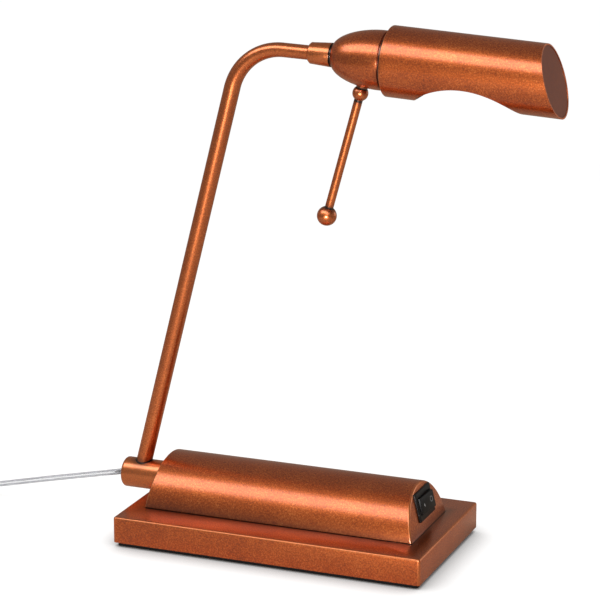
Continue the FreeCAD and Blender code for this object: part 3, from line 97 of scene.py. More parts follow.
# Camera and lights: lens and sensor in millimetres, places and sizes in metres, power in watts
LENS, SENSOR = 148.63, 36.0
CAMERA_AT, CAMERA_TO = (0.54140, -1.35001, 0.54016), (0.0022545, 0.0, 0.153909)
LIT_POINT = (0, 0, 0.15)
LIGHTS = (
    ("key", (-0.15, -0.52, 0.88), (1.6, 0.42), 5.7),
    ("front", (0.34, -1.35, 0.14), (0.4, 0.28), 10.5),
    ("right", (0.9, 0.9, 0.35), (0.6, 0.5), 0.9),
)


def put(name, data):
    """New object in the scene."""
    thing = bpy.data.objects.new(name, data)
    bpy.context.scene.collection.objects.link(thing)
    return thing


def aim(place, target):
    """Turn of a camera or a light that looks from a place to a target."""
    return (Vector(target) - Vector(place)).to_track_quat("-Z", "Y").to_euler()


def set_camera():
    data = bpy.data.cameras.new("camera")
    data.sensor_width, data.lens, data.clip_end = SENSOR, LENS, 10.0
    camera = put("camera", data)
    camera.location, camera.rotation_euler = CAMERA_AT, aim(CAMERA_AT, CAMERA_TO)
    bpy.context.scene.camera = camera


# Shader helpers
class Wire:
    """One shader socket on which sums and products add their own Math nodes."""

    def __init__(self, shader, socket):
        self.shader, self.socket = shader, socket

    def maths(self, operation, *others):
        inputs = dict(enumerate((self,) + others))
        return self.shader.node("ShaderNodeMath", {"operation": operation}, inputs)[0]

    def __add__(self, other):
        return self.maths("ADD", other)

    def __sub__(self, other):
        return self.maths("SUBTRACT", other)

    def __mul__(self, other):
        return self.maths("MULTIPLY", other)

    def __rsub__(self, other):
        return self.shader.node("ShaderNodeMath", {"operation": "SUBTRACT"}, {0: other, 1: self})[0]

    def __neg__(self):
        return 0.0 - self

    __radd__ = __add__


class Shader:
    """A material's node tree, with one way to add a node and the final surface settings."""

    def __init__(self, name):
        self.material = bpy.data.materials.new(name)
        self.material.use_nodes = True
        self.tree = self.material.node_tree
        self.surface = self.tree.nodes["Principled BSDF"]
        self.here = self.node("ShaderNodeTexCoord", {}, {})["Object"]

    def node(self, kind, settings, inputs):
        made = self.tree.nodes.new(kind)
        for name, value in settings.items():
            if name == "stops":
                self.fill_ramp(made.color_ramp, value)
            else:
                setattr(made, name, value)
        for name, value in inputs.items():
            self.plug(made.inputs[name], value)
        return Sockets(self, made.outputs)

    def plug(self, socket, value):
        if isinstance(value, Wire):
            self.tree.links.new(value.socket, socket)
        else:
            socket.default_value = value

    def fill_ramp(self, ramp, stops):
        while len(ramp.elements) < len(stops):
            ramp.elements.new(0.5)
        for element, (position, colour) in zip(ramp.elements, stops):
            element.position = position
            element.color = colour

    def noise(self, scale, detail=2.0, roughness=0.5, stretch=(1, 1, 1)):
        """Noise at that many grains per metre."""
        where = self.node("ShaderNodeMapping", {}, {"Vector": self.here, "Scale": stretch})["Vector"]
        inputs = {"Vector": where, "Scale": scale, "Detail": detail, "Roughness": roughness}
        return self.node("ShaderNodeTexNoise", {}, inputs)["Fac"]

    def ramp(self, factor, stops):
        return self.node("ShaderNodeValToRGB", {"stops": stops}, {"Fac": factor})["Color"]

    def mix(self, factor, first, second):
        inputs = {"Factor": factor, "A": first, "B": second}
        made = self.node("ShaderNodeMix", {"data_type": "RGBA"}, {})
        for socket in made.owner.inputs:
            if socket.enabled and socket.name in inputs:
                self.plug(socket, inputs[socket.name])
        return Wire(self, next(s for s in made.owner.outputs if s.enabled))

    def vector(self, operation, *values):
        return self.node("ShaderNodeVectorMath", {"operation": operation}, dict(enumerate(values)))

    def limit(self, wire):
        """Keeps a value between nought and one."""
        return self.node("ShaderNodeClamp", {}, {"Value": wire})["Result"]

    def bump(self, height, distance, strength=1.0):
        inputs = {"Height": height, "Distance": distance, "Strength": strength}
        self.finish(Normal=self.node("ShaderNodeBump", {}, inputs)["Normal"])

    def finish(self, **values):
        for name, value in values.items():
            self.plug(self.surface.inputs[name.replace("_", " ")], value)
        return self


class Sockets:
    """A node's outputs by name or number, as wires."""

    def __init__(self, shader, outputs):
        self.shader, self.outputs = shader, outputs
        self.owner = outputs[0].node

    def __getitem__(self, key):
        return Wire(self.shader, self.outputs[key])


def largest(*wires):
    """The largest of some values, and never less than nought."""
    result = wires[0]
    for wire in wires[1:] + (0.0,):
        result = result.maths("MAXIMUM", wire)
    return result


def smallest(*wires):
    result = wires[0]
    for wire in wires[1:]:
        result = result.maths("MINIMUM", wire)
    return result


def grey(value):
    return (value, value, value, 1.0)


def rgb(red, green, blue):
    """Colour from display values of 0 to 255."""

    def linear(value):
        value /= 255
        return value / 12.92 if value <= 0.04045 else ((value + 0.055) / 1.055) ** 2.4

    return (linear(red), linear(green), linear(blue), 1.0)


# Materials
def antique_copper(name, joint=None, reach=0.009, line=0.0007, rough=0.28, painted_highlight_lift=0.0):
    """Copper lacquer taken back unevenly: fine bright flecks over a browner ground, under a clear coat.

    Edges get a painted highlight in a lighter copper, and a lift gives a whole piece the same painted highlight.
    Beside a joint painted shade darkens the copper: softly within the reach, and nearly black within the line. The
    joint is a function that gives the distance from it in metres.
    """
    s = Shader(name)
    cloud = s.noise(38, 3, 0.6)
    fleck = s.noise(1050, 4, 0.68)
    speck = s.noise(2800, 1, 0.5)
    tone = cloud * 0.16 + fleck * 0.56 + speck * 0.28
    stops = (
        (0.34, rgb(134, 52, 8)),
        (0.46, rgb(188, 84, 18)),
        (0.54, rgb(218, 105, 32)),
        (0.66, rgb(250, 154, 78)),
    )
    # Lighter copper for the painted edge highlight; dark colours for painted shade beside joints.
    painted_highlight_colour, painted_joint_shade, painted_joint_shadow = rgb(255, 156, 88), rgb(58, 20, 4), rgb(16, 6, 2)
    worn = s.node("ShaderNodeAttribute", {"attribute_name": "worn"}, {})["Fac"]
    colour = s.mix(worn * 0.5 + painted_highlight_lift, s.ramp(tone, stops), painted_highlight_colour)
    if joint:
        away = joint(s)
        # Painted shade beside a joint: soft within the reach, near black within the line.
        colour = s.mix(s.limit(1 - away * (1 / reach)) * 0.7, colour, painted_joint_shade)
        colour = s.mix(s.limit(3 - away * (3 / line)) * 0.92, colour, painted_joint_shadow)
    s.finish(Base_Color=colour, Metallic=1.0, Specular_Tint=(0.95, 0.62, 0.42, 1.0))
    s.finish(Roughness=rough + speck * 0.12)
    s.bump(fleck * 0.6 + speck * 0.4, 0.00008, 0.5)
    s.finish(Coat_Weight=1.0, Coat_Roughness=0.22, Coat_IOR=1.65)
    return s.material


def beside_housing(s):
    """Distance from the line where the housing stands on the base.

    It counts more up the housing, past its ends and behind it, where the painted shade is narrower than in front.
    """
    x, y, z = (s.node("ShaderNodeSeparateXYZ", {}, {"Vector": s.here})[i] for i in range(3))
    middle, half = (COVER_LEFT + COVER_RIGHT) / 2 * MM, (COVER_RIGHT - COVER_LEFT) / 2 * MM
    past_end, behind = (x - middle).maths("ABSOLUTE") - half, y - COVER_FOOT * MM
    in_front, above = -y - COVER_FOOT * MM, z - BASE[3] * MM
    return largest(largest(past_end, behind) * 2.2, in_front, above * 2.0)


def along_axis(s, place):
    """Distance along a place's own X, from its origin."""
    axis = place.to_3x3() @ X
    return s.vector("DOT_PRODUCT", s.here, axis)["Value"] - place.translation.dot(axis) * MM


def off_axis(s, foot, axis):
    """Distance from a straight line."""
    apart = s.vector("SUBTRACT", s.here, foot * MM)["Vector"]
    turned_out = s.vector("CROSS_PRODUCT", apart, axis)["Vector"]
    return s.vector("LENGTH", turned_out)["Value"]


def beside_foot(s):
    """Distance from where the arm enters the hub, with the hub's underside far from it."""
    up_the_arm = Matrix.Translation(ARM_FOOT) @ Matrix.Rotation(math.radians(ARM_LEAN - 90), 4, "Y")
    off_arm = off_axis(s, ARM_FOOT, ARM_DIR) - ARM_FOOT_R * MM
    off_hub = off_axis(s, ARM_FOOT, X) - HUB_R * MM
    return largest(off_arm, -along_axis(s, up_the_arm), off_hub)


def beside_hub(s):
    """Distance from where the arm enters the hub, or from where the hub enters the housing."""
    lean = math.radians(LEAN_LEFT)
    entry = Matrix.Translation((COVER_LEFT + (HUB_Z - BASE[3]) * math.tan(lean), 0, HUB_Z))
    housing = -along_axis(s, entry @ Matrix.Rotation(lean, 4, "Y"))
    return largest(smallest(beside_foot(s), housing))


def beside_handle(s):
    """Distance from the joints of the handle: dome, small ball, rod and knob."""
    along = along_axis(s, handle_place())
    return smallest(*((along - at * MM).maths("ABSOLUTE") for at in HANDLE_JOINTS))


def beside_shade(s):
    """Distance from where the dome meets the shade or the collar, with a narrower line at the collar."""
    shade = along_axis(s, SHADE).maths("ABSOLUTE")
    collar = (along_axis(s, HEAD) - DOME_START * MM).maths("ABSOLUTE")
    return smallest(shade, largest(collar - 0.0003) * 3.0)


def brown_lacquer():
    """The shade's end disc: flat brown with a faint mottle."""
    s = Shader("brown_lacquer")
    mottle = s.noise(420, 4, 0.6)
    broad = s.noise(40, 2, 0.5)
    stops = ((0.3, rgb(124, 64, 42)), (0.7, rgb(148, 82, 54)))
    s.finish(Base_Color=s.ramp(mottle * 0.6 + broad * 0.4, stops), Metallic=0.25)
    s.finish(Roughness=0.52 + mottle * 0.12)
    s.bump(mottle, 0.00003, 0.3)
    return s.material


def moulded(name, colour, dark, roughness, grain=1500, shine=0.5):
    """Moulded plastic with a fine grain."""
    s = Shader(name)
    fine = s.noise(grain, 2, 0.5)
    s.finish(Base_Color=s.mix(fine, dark, colour), Roughness=roughness + fine * 0.1, Specular_IOR_Level=shine)
    s.bump(fine, 0.00002, 0.25)
    return s.material


def bare_metal(name, colour, roughness, stretch=(1, 1, 1)):
    """Bare or plated metal with a drawn or turned grain."""
    s = Shader(name)
    grain = s.noise(700, 3, 0.6, stretch)
    blot = s.noise(60, 2, 0.5)
    dark = tuple(c * 0.72 for c in colour[:3]) + (1.0,)
    s.finish(Base_Color=s.mix(grain * 0.6 + blot * 0.4, dark, colour), Metallic=1.0)
    s.finish(Roughness=roughness + grain * 0.14)
    s.bump(grain, 0.00001, 0.3)
    return s.material


def raw_casting():
    s = Shader("raw_casting")
    sand = s.noise(380, 5, 0.7)
    s.finish(Base_Color=s.mix(sand, rgb(38, 36, 34), rgb(86, 84, 82)), Metallic=0.5)
    s.finish(Roughness=0.62 + sand * 0.25)
    s.bump(sand, 0.0004, 0.6)
    return s.material


def clear_sleeve():
    """Clear soft plastic: seen through, a little milky, with painted shade that makes it greyer where it turns
    away.
    """
    s = Shader("clear_sleeve")
    haze = s.noise(160, 2, 0.5)
    painted_edge_shade = s.node("ShaderNodeLayerWeight", {}, {"Blend": 0.5})["Facing"]
    colour = s.mix(haze, rgb(226, 227, 230), rgb(248, 249, 250))
    # Painted shade: greyer toward the edges that turn away.
    colour = s.mix(s.limit(painted_edge_shade * 2.2 - 0.9), colour, rgb(70, 68, 70))
    s.finish(Base_Color=colour, Roughness=0.10 + haze * 0.12, Transmission_Weight=0.82, IOR=1.32)
    return s.material


def tinned_strands():
    """Bundle of twisted tinned strands, banded along the cord by its own coordinate."""
    s = Shader("tinned_strands")
    along = s.node("ShaderNodeUVMap", {}, {})["UV"]
    bands = {"wave_type": "BANDS", "bands_direction": "DIAGONAL"}
    lay = s.node("ShaderNodeTexWave", bands, {"Vector": along, "Scale": 3.0, "Distortion": 0.6})["Fac"]
    s.finish(Base_Color=s.mix(lay, rgb(84, 84, 94), rgb(250, 250, 255)), Metallic=0.8)
    s.finish(Roughness=0.26 + lay * 0.2)
    s.bump(lay, 0.00015, 0.5)
    return s.material


def clear_glass():
    s = Shader("clear_glass")
    ripple = s.noise(25, 1, 0.5)
    s.finish(Base_Color=rgb(244, 246, 246), Roughness=0.02 + ripple * 0.02, Transmission_Weight=1.0, IOR=1.45)
    return s.material


def paint_cad_nodes(finishes):
    """Every CAD node takes the finish of its material slot."""
    slots = {part["node"]: part["material_slot"] for part in frame["record"]["subparts"]}
    for name, thing in nodes.items():
        thing.data.materials.clear()
        thing.data.materials.append(finishes[slots[name]])


# Mesh helpers
def drawn(name, bm, place=FLAT):
    """Mesh in metres from a bmesh drawn in millimetres."""
    bmesh.ops.recalc_face_normals(bm, faces=bm.faces)
    mesh = bpy.data.meshes.new(name)
    bm.to_mesh(mesh)
    bm.free()
    mesh.transform(Matrix.Scale(MM, 4) @ place)
    return mesh


def evaluated_mesh(thing):
    """Mesh of a curve, or of an object with its modifiers applied."""
    bpy.context.view_layer.update()
    return bpy.data.meshes.new_from_object(thing.evaluated_get(bpy.context.evaluated_depsgraph_get()))


def resmooth(thing, smooth_angle=30.0):
    thing.data.shade_smooth()
    thing.data.set_sharp_from_angle(angle=math.radians(smooth_angle))


def piece(name, bm, place, material, body, stands_for=(), smooth_angle=30.0):
    """Object from a bmesh drawn in millimetres and set in its place, in metres."""
    bmesh.ops.remove_doubles(bm, verts=bm.verts, dist=0.0005)
    thing = put(name, drawn(name, bm, place))
    resmooth(thing, smooth_angle)
    thing.data.materials.append(material)
    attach(thing, body)
    if stands_for:
        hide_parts(*stands_for)
    return thing


def turned(points, steps=128):
    """Closed outline of (x, radius) corners spun about X."""
    bm = bmesh.new()
    corners = [bm.verts.new((x, 0, r)) for x, r in points]
    edges = [bm.edges.new(pair) for pair in zip(corners, corners[1:] + corners[:1])]
    spin = {"cent": (0, 0, 0), "axis": X, "angle": 2 * math.pi, "steps": steps, "use_merge": True}
    bmesh.ops.spin(bm, geom=corners + edges, **spin)
    bmesh.ops.remove_doubles(bm, verts=bm.verts, dist=0.0005)
    bmesh.ops.dissolve_degenerate(bm, dist=0.0005, edges=bm.edges)
    bmesh.ops.recalc_face_normals(bm, faces=bm.faces)
    return bm


def soften(bm, width, picks, segments=3, worn=0.0):
    """Round the edges that the test picks, and note how strong a painted edge highlight they take."""
    layer = bm.faces.layers.float.get("worn") or bm.faces.layers.float.new("worn")
    chosen = [edge for edge in bm.edges if picks(edge)]
    settings = {"offset": width, "segments": segments, "profile": 0.5, "affect": "EDGES", "material": -1}
    # Each new bevel face records the strength of its painted edge highlight.
    for face in bmesh.ops.bevel(bm, geom=chosen, **settings)["faces"]:
        face[layer] = worn


def sharp(angle):
    """Picks edges whose faces meet at more than an angle."""
    limit = math.radians(angle)
    return lambda edge: len(edge.link_faces) == 2 and edge.calc_face_angle(0) > limit


def rim(angle, test):
    """Picks sharp edges both of whose corners pass a test."""
    return lambda edge: sharp(angle)(edge) and all(test(v.co) for v in edge.verts)


def slab(x0, x1, y0, y1, z0, z1):
    bm = bmesh.new()
    bmesh.ops.create_cube(bm, size=1.0)
    bmesh.ops.scale(bm, vec=(x1 - x0, y1 - y0, z1 - z0), verts=bm.verts)
    bmesh.ops.translate(bm, vec=((x0 + x1) / 2, (y0 + y1) / 2, (z0 + z1) / 2), verts=bm.verts)
    return bm


def ball(radius, centre, segments=64):
    bm = bmesh.new()
    bmesh.ops.create_uvsphere(bm, u_segments=segments, v_segments=segments // 2, radius=radius)
    bmesh.ops.translate(bm, vec=centre, verts=bm.verts)
    return bm


def along(edge, axis):
    """Whether an edge runs along an axis."""
    way = (edge.verts[1].co - edge.verts[0].co).normalized()
    return abs(way.dot(axis)) > 0.99


def verts_in(geom):
    return [part for part in geom if isinstance(part, bmesh.types.BMVert)]


def cut_flat(bm, point, normal):
    """Takes off what is past a plane and closes the cut."""
    everything = bm.verts[:] + bm.edges[:] + bm.faces[:]
    cut = bmesh.ops.bisect_plane(bm, geom=everything, plane_co=point, plane_no=normal, clear_outer=True)
    bmesh.ops.contextual_create(bm, geom=[e for e in cut["geom_cut"] if isinstance(e, bmesh.types.BMEdge)])


def cut_away(thing, cutters):
    """Takes cutter meshes out of a piece for good."""
    for bm in cutters:
        cutter = put("cutter", drawn("cutter", bm))
        trim = thing.modifiers.new("trim", "BOOLEAN")
        trim.operation, trim.solver, trim.object = "DIFFERENCE", "EXACT", cutter
        result = evaluated_mesh(thing)
        thing.modifiers.clear()
        thing.data = result
        bpy.data.objects.remove(cutter)


# Base
def make_base(copper, rubber):
    length, width, low, high = BASE
    bm = slab(-length / 2, length / 2, -width / 2, width / 2, low, high)
    soften(bm, 1.6, lambda e: along(e, Z), 6, 0.5)
    soften(bm, 1.2, rim(30, lambda co: co.z > high - 0.01), 4, 0.7)
    soften(bm, 0.3, rim(30, lambda co: co.z < low + 0.01), 2)
    piece("base_box", bm, FLAT, copper, "base", ["base_shell"])
    length, width, low, high = PAD
    bm = slab(-length / 2, length / 2, -width / 2, width / 2, low, high)
    soften(bm, 1.5, lambda e: along(e, Z), 5)
    soften(bm, 0.4, rim(30, lambda co: co.z < low + 0.01), 2)
    piece("base_foot", bm, FLAT, rubber, "base", ["base_pad"])


# Housing
def make_cover(copper):
    """Half-round bar with leaning ends and softly rounded end edges, and a hole for the hub."""
    top, beyond = BASE[3], 5
    half = math.asin((top - COVER_AXIS_Z) / COVER_R)
    bm = bmesh.new()
    first = bm.verts.new((COVER_LEFT - beyond, COVER_R * math.cos(half), top))
    turn = {"cent": (0, 0, COVER_AXIS_Z), "axis": X, "angle": math.pi - 2 * half, "steps": 96, "use_merge": False}
    bmesh.ops.spin(bm, geom=[first], **turn)
    bm.edges.new([v for v in bm.verts if len(v.link_edges) == 1])
    face = bmesh.ops.contextual_create(bm, geom=bm.edges)["faces"]
    run = bmesh.ops.extrude_face_region(bm, geom=face)
    bmesh.ops.translate(bm, vec=X * (COVER_RIGHT - COVER_LEFT + 2 * beyond), verts=verts_in(run["geom"]))
    for x, lean, side in ((COVER_LEFT, LEAN_LEFT, -1), (COVER_RIGHT, LEAN_RIGHT, 1)):
        normal = Vector((side * math.cos(math.radians(lean)), 0, math.sin(math.radians(lean))))
        cut_flat(bm, (x, 0, top), normal)
    soften(bm, 1.1, lambda e: sharp(40)(e) and any(v.co.z > top + 0.5 for v in e.verts), 5, 1.0)
    soften(bm, 0.35, rim(40, lambda co: co.z < top + 0.1), 2)
    cover = piece("cover_body", bm, FLAT, copper, "base", ["cover_shell"], 35)
    left, right, hole_r = COVER_LEFT - 9, COVER_LEFT + 9, HUB_R + 0.4
    hub_hole = turned([(left, 0), (left, hole_r), (right, hole_r), (right, 0)], 96)
    bmesh.ops.translate(hub_hole, vec=Z * HUB_Z, verts=hub_hole.verts)
    cut_away(cover, [hub_hole])
    resmooth(cover, 35)


# Hub and arm
def make_hub(copper):
    cord_hole, bore, wall = 2.7, 3.9, HUB_LEFT + 3
    outside = [(HUB_LEFT, cord_hole), (HUB_LEFT, HUB_R), (HUB_RIGHT, HUB_R)]
    bm = turned(outside + [(HUB_RIGHT, bore), (wall, bore), (wall, cord_hole)])
    soften(bm, 2.0, lambda e: all(v.co.x < HUB_LEFT + 0.01 and v.co.yz.length > 9 for v in e.verts), 6)
    piece("hub_barrel", bm, HUB, copper, "arm", ["pivot_barrel"])


def arm_line():
    """Centre line of the arm as (point, radius), straight, bent and straight again."""
    end_dir = HEAD.to_3x3() @ X
    turn = math.acos(ARM_DIR.dot(end_dir))
    reach = ARM_BEND_R * math.tan(turn / 2)
    start = ARM_CORNER - ARM_DIR * reach
    inward = (end_dir - ARM_DIR * ARM_DIR.dot(end_dir)).normalized()
    line = [(ARM_FOOT + ARM_DIR * ARM_FOOT_SEAT, ARM_FOOT_R)]
    steps = 40
    for i in range(steps + 1):
        angle = turn * i / steps
        point = start + ARM_DIR * (ARM_BEND_R * math.sin(angle)) + inward * (ARM_BEND_R * (1 - math.cos(angle)))
        line.append((point, ARM_FOOT_R + (ARM_END_R - ARM_FOOT_R) * i / steps))
    line.append((ARM_CORNER + end_dir * ARM_REACH, ARM_END_R))
    return line


def make_arm(copper):
    data = bpy.data.curves.new("arm_bar", "CURVE")
    data.dimensions = "3D"
    data.bevel_depth = MM
    data.bevel_resolution = 14
    data.use_fill_caps = True
    line = arm_line()
    spline = data.splines.new("POLY")
    spline.points.add(len(line) - 1)
    for target, (point, radius) in zip(spline.points, line):
        target.co = (*(point * MM), 1)
        target.radius = radius
    curve = put("arm_curve", data)
    bm = bmesh.new()
    bm.from_mesh(evaluated_mesh(curve))
    bpy.data.objects.remove(curve)
    bmesh.ops.transform(bm, matrix=Matrix.Scale(1 / MM, 4), verts=bm.verts)
    piece("arm_bar", bm, FLAT, copper, "arm", ["arm_tube"], 40)


def make_collar(copper):
    """Tapered collar on the arm, and the small ring between it and the dome."""
    x0, x1, r0, r1, chamfer = COLLAR
    step, bore = x0 + 7, 5.0
    outside = [(x0, ARM_END_R), (x0, r0 - chamfer), (x0 + chamfer, r0), (x1, r1)]
    bm = turned(outside + [(x1, bore), (step, bore), (step, ARM_END_R)])
    soften(bm, 0.25, sharp(25), 2, 0.8)
    piece("collar", bm, HEAD, copper, "arm", ["arm_collar"])
    gap, bore, neck_r, ring_r, end = 0.05, 4.0, 4.95, 6.45, DOME_START + 8
    outside = [(x1 + gap, bore), (x1 + gap, ring_r), (DOME_START + gap, ring_r), (DOME_START, neck_r)]
    bm = turned(outside + [(end, neck_r), (end, bore)], 96)
    soften(bm, 0.15, sharp(30), 2)
    piece("collar_ring", bm, HEAD, copper, "head")


# Dome
def dome_radius(x):
    left = 1 - min(x / DOME_CURVE, 1)
    return DOME_BACK_R + (DOME_R - DOME_BACK_R) * (1 - left**DOME_POWER) ** (1 / DOME_POWER)


def make_dome(copper):
    """Bell with a shallow groove round its mouth, where it goes into the shade."""
    steps, mouth = 28, DOME_START + DOME_LENGTH
    stations = [DOME_CURVE * (1 - math.cos(math.pi / 2 * i / steps)) for i in range(steps + 1)]
    outer = [(DOME_START + x, dome_radius(x)) for x in stations]
    edge, floor_r = mouth - GROOVE_WIDTH, DOME_R - GROOVE_DEPTH
    groove = [(edge, DOME_R), (edge, floor_r), (mouth, floor_r)]
    inner = [(min(x + DOME_WALL, mouth - 0.01), r - DOME_WALL) for x, r in outer[2:]]
    inner.append((mouth, DOME_R - DOME_WALL))
    bore = [(inner[0][0], 5.05), (DOME_START, 5.05)]
    bm = turned(outer + groove + inner[::-1] + bore, 160)
    soften(bm, 0.25, lambda e: sharp(50)(e) and all(v.co.yz.length > DOME_R - 0.1 for v in e.verts), 3)
    piece("dome", bm, HEAD, copper, "head", ["head_dome"], 40)


# Handle
def handle_place():
    """Frame at the foot of the handle, with X along the handle away from the dome."""
    root = Vector((DOME_START + HANDLE_AT, 0, -dome_radius(HANDLE_AT)))
    lean = math.radians(90 + HANDLE_LEAN)
    return HEAD @ Matrix.Translation(root) @ Matrix.Rotation(lean, 4, "Y")


def make_handle(copper):
    place, bore = handle_place(), 2.05
    centre = SPACER_T + SMALL_BALL_FLAT
    knob_at = centre + ROD_LENGTH
    bm = turned([(-SPACER_SUNK, bore), (-SPACER_SUNK, SPACER_R), (SPACER_T, SPACER_R), (SPACER_T, bore)], 64)
    soften(bm, 0.2, rim(40, lambda co: co.x > 1), 2)
    piece("handle_washer", bm, place, copper, "head", ["handle_spacer"])
    bm = ball(SMALL_BALL_R, (centre, 0, 0))
    cut_flat(bm, (SPACER_T, 0, 0), -X)
    piece("handle_ball", bm, place, copper, "head", ["handle_small_ball"])
    bm = turned([(centre + 2.4, 0), (centre + 2.4, ROD_R), (knob_at, ROD_R), (knob_at, 0)], 64)
    piece("handle_bar", bm, place, copper, "head", ["handle_rod"])
    piece("handle_end", ball(KNOB_R, (knob_at, 0, 0), 80), place, copper, "head", ["handle_knob"])


# Shade
def make_shade(copper, brown):
    """Tube with a closed left end, cut off slanting on the right and scooped out underneath."""
    past, bore, wall, hole_r = SHADE_LENGTH + SHADE_R, SHADE_R - SHADE_WALL, 1, 12.5
    bm = turned([(0, hole_r), (0, SHADE_R), (past, SHADE_R), (past, bore), (wall, bore), (wall, hole_r)], 192)
    lengthwise = [e for e in bm.edges if along(e, X)]
    bmesh.ops.subdivide_edges(bm, edges=lengthwise, cuts=40, use_grid_fill=True)
    soften(bm, 0.6, lambda e: all(v.co.x < 0.01 and v.co.yz.length > SHADE_R - 0.01 for v in e.verts), 4, 1.0)
    shade = piece("shade_body", bm, SHADE, copper, "head", ["shade_tube"])
    slant = Matrix.Rotation(math.radians(-SHADE_SLANT), 4, "Y")
    slanting_end = Matrix.Translation((SHADE_LENGTH, 0, 0)) @ slant
    past_end = slab(0, 90, -40, 40, -60, 60)
    bmesh.ops.transform(past_end, matrix=SHADE @ slanting_end, verts=past_end.verts)
    scoop = bmesh.new()
    bmesh.ops.create_cone(scoop, cap_ends=True, segments=360, radius1=SCOOP_R, radius2=SCOOP_R, depth=80)
    across_tube = Matrix.Translation((SCOOP_AT, 0, -SCOOP_BELOW)) @ Matrix.Rotation(math.pi / 2, 4, "X")
    bmesh.ops.transform(scoop, matrix=SHADE @ across_tube, verts=scoop.verts)
    cut_away(shade, [past_end, scoop])
    resmooth(shade)
    edge = shade.modifiers.new("worn_edge", "BEVEL")
    edge.width, edge.segments, edge.limit_method, edge.angle_limit = 0.00018, 2, "ANGLE", math.radians(55)
    edge.use_clamp_overlap = True
    disc_r, disc_wall, disc_inset = bore - 0.03, 0.9, 0.4
    disc = bmesh.new()
    bmesh.ops.create_circle(disc, cap_ends=True, segments=160, radius=disc_r)
    stretch = Matrix.Diagonal((1 / math.cos(math.radians(SHADE_SLANT)), 1, 1, 1))
    bmesh.ops.transform(disc, matrix=Matrix.Rotation(math.pi / 2, 4, "Y") @ stretch, verts=disc.verts)
    thick = bmesh.ops.extrude_face_region(disc, geom=disc.faces[:])
    bmesh.ops.translate(disc, vec=X * -disc_wall, verts=verts_in(thick["geom"]))
    seat = Matrix.Translation((SHADE_LENGTH - disc_inset, 0, 0)) @ slant
    piece("shade_disc", disc, SHADE @ seat, brown, "head", ["shade_end_cap"])


# Switch
def make_switch(black, on_mark, off_mark):
    """Bezel and its well, rocker at rest with its near end pressed, and its two marks."""
    width, height, proud = BEZEL
    bm = slab(0, proud, -width / 2, width / 2, -height / 2, height / 2)
    soften(bm, 0.6, lambda e: along(e, X), 4)
    soften(bm, 0.7, rim(40, lambda co: co.x > proud - 0.01), 3)
    bezel = piece("switch_bezel", bm, SWITCH, black, "base", ["switch_housing"])
    width, height = OPENING
    opening = slab(-9, 9, -width / 2, width / 2, -height / 2, height / 2)
    bmesh.ops.transform(opening, matrix=SWITCH, verts=opening.verts)
    cut_away(bezel, [opening])
    resmooth(bezel)
    width, height, depth = WELL
    bm = slab(-depth, 0, -width / 2, width / 2, -height / 2, height / 2)
    top = [f for f in bm.faces if f.normal.x > 0.9]
    bmesh.ops.inset_region(bm, faces=top, thickness=0.2)
    bmesh.ops.translate(bm, vec=X * -8, verts=top[0].verts)
    piece("switch_well", bm, SWITCH, black, "base")
    bm = bmesh.new()
    bmesh.ops.create_cone(bm, cap_ends=True, segments=200, radius1=KEY_R, radius2=KEY_R, depth=2 * KEY_HALF)
    bmesh.ops.translate(bm, vec=X * KEY_PIVOT, verts=bm.verts)
    cut_flat(bm, (KEY_FRONT, 0, 0), X)
    cut_flat(bm, (KEY_BACK, 0, 0), -X)
    soften(bm, 0.35, lambda e: sharp(40)(e) and max(v.co.x for v in e.verts) > 0.5, 3)
    turn = Matrix.Rotation(math.radians(-KEY_TILT), 4, "Z")
    rock = Matrix.Translation((KEY_PIVOT, 0, 0)) @ turn @ Matrix.Translation((-KEY_PIVOT, 0, 0))
    piece("rocker_key", bm, SWITCH @ rock, black, "rocker", ["switch_rocker"])
    bar = slab(KEY_FRONT - 0.05, KEY_FRONT + 0.03, -5.2, -4.75, -1.0, 0.6)
    piece("mark_on", bar, SWITCH @ rock, on_mark, "rocker")
    ring = bmesh.new()
    bmesh.ops.create_circle(ring, cap_ends=False, segments=48, radius=1.75)
    hoop = bmesh.ops.extrude_edge_only(ring, edges=ring.edges[:])
    bmesh.ops.scale(ring, vec=(0.76, 0.76, 1), verts=verts_in(hoop["geom"]))
    stand = Matrix.Translation((KEY_FRONT + 0.03, 5.0, 0.6)) @ Matrix.Rotation(math.pi / 2, 4, "Y")
    piece("mark_off", ring, SWITCH @ rock @ stand, off_mark, "rocker")


# Cord
def coil_stops():
    """Radius and level after each half turn, as the solid's coil has them."""
    radius, level, inward = COIL_OUTER_R, 0, True
    stops = [(radius, level)]
    for i, halves in enumerate(COIL_HALF_TURNS):
        if i:
            level += 1
            stops.append((radius, level))
        for _ in range(halves):
            radius += -COIL_TURN_PITCH / 2 if inward else COIL_TURN_PITCH / 2
            stops.append((radius, level))
        inward = not inward
    return stops


def cord_points():
    """Route in millimetres: the run from the lamp, the turns of the coil and the tail to the plug."""
    points = [Vector(CORD_EXIT)] + [Vector((x, 0, z)) for x, z in CORD_ROUTE]
    start = points[-1] - X * CORD_D
    centre = start - Y * COIL_OUTER_R
    stops = coil_stops()
    for i, ((r0, l0), (r1, l1)) in enumerate(zip(stops, stops[1:])):
        side = 1 if i % 2 else -1
        for step in range(COIL_POINTS):
            share = (step + 0.5) / COIL_POINTS
            angle = math.pi * share
            middle = centre - Y * (side * (r0 - r1) / 2)
            radius = (r0 + r1) / 2 / math.cos(math.pi / 2 / COIL_POINTS)
            level = l0 + (l1 - l0) * (1 - math.cos(angle)) / 2
            points.append(middle + Vector((side * radius * math.sin(angle), -side * radius * math.cos(angle), 0)))
            points[-1].z = start.z + level * COIL_LAYER_RISE
    end = centre + Vector((0, stops[-1][0], 0))
    end.z = start.z + stops[-1][1] * COIL_LAYER_RISE
    tail = end - X * CORD_D
    return points + [end, tail] + [tail + Vector((x, 0, z)) for x, z in TAIL_ROUTE]


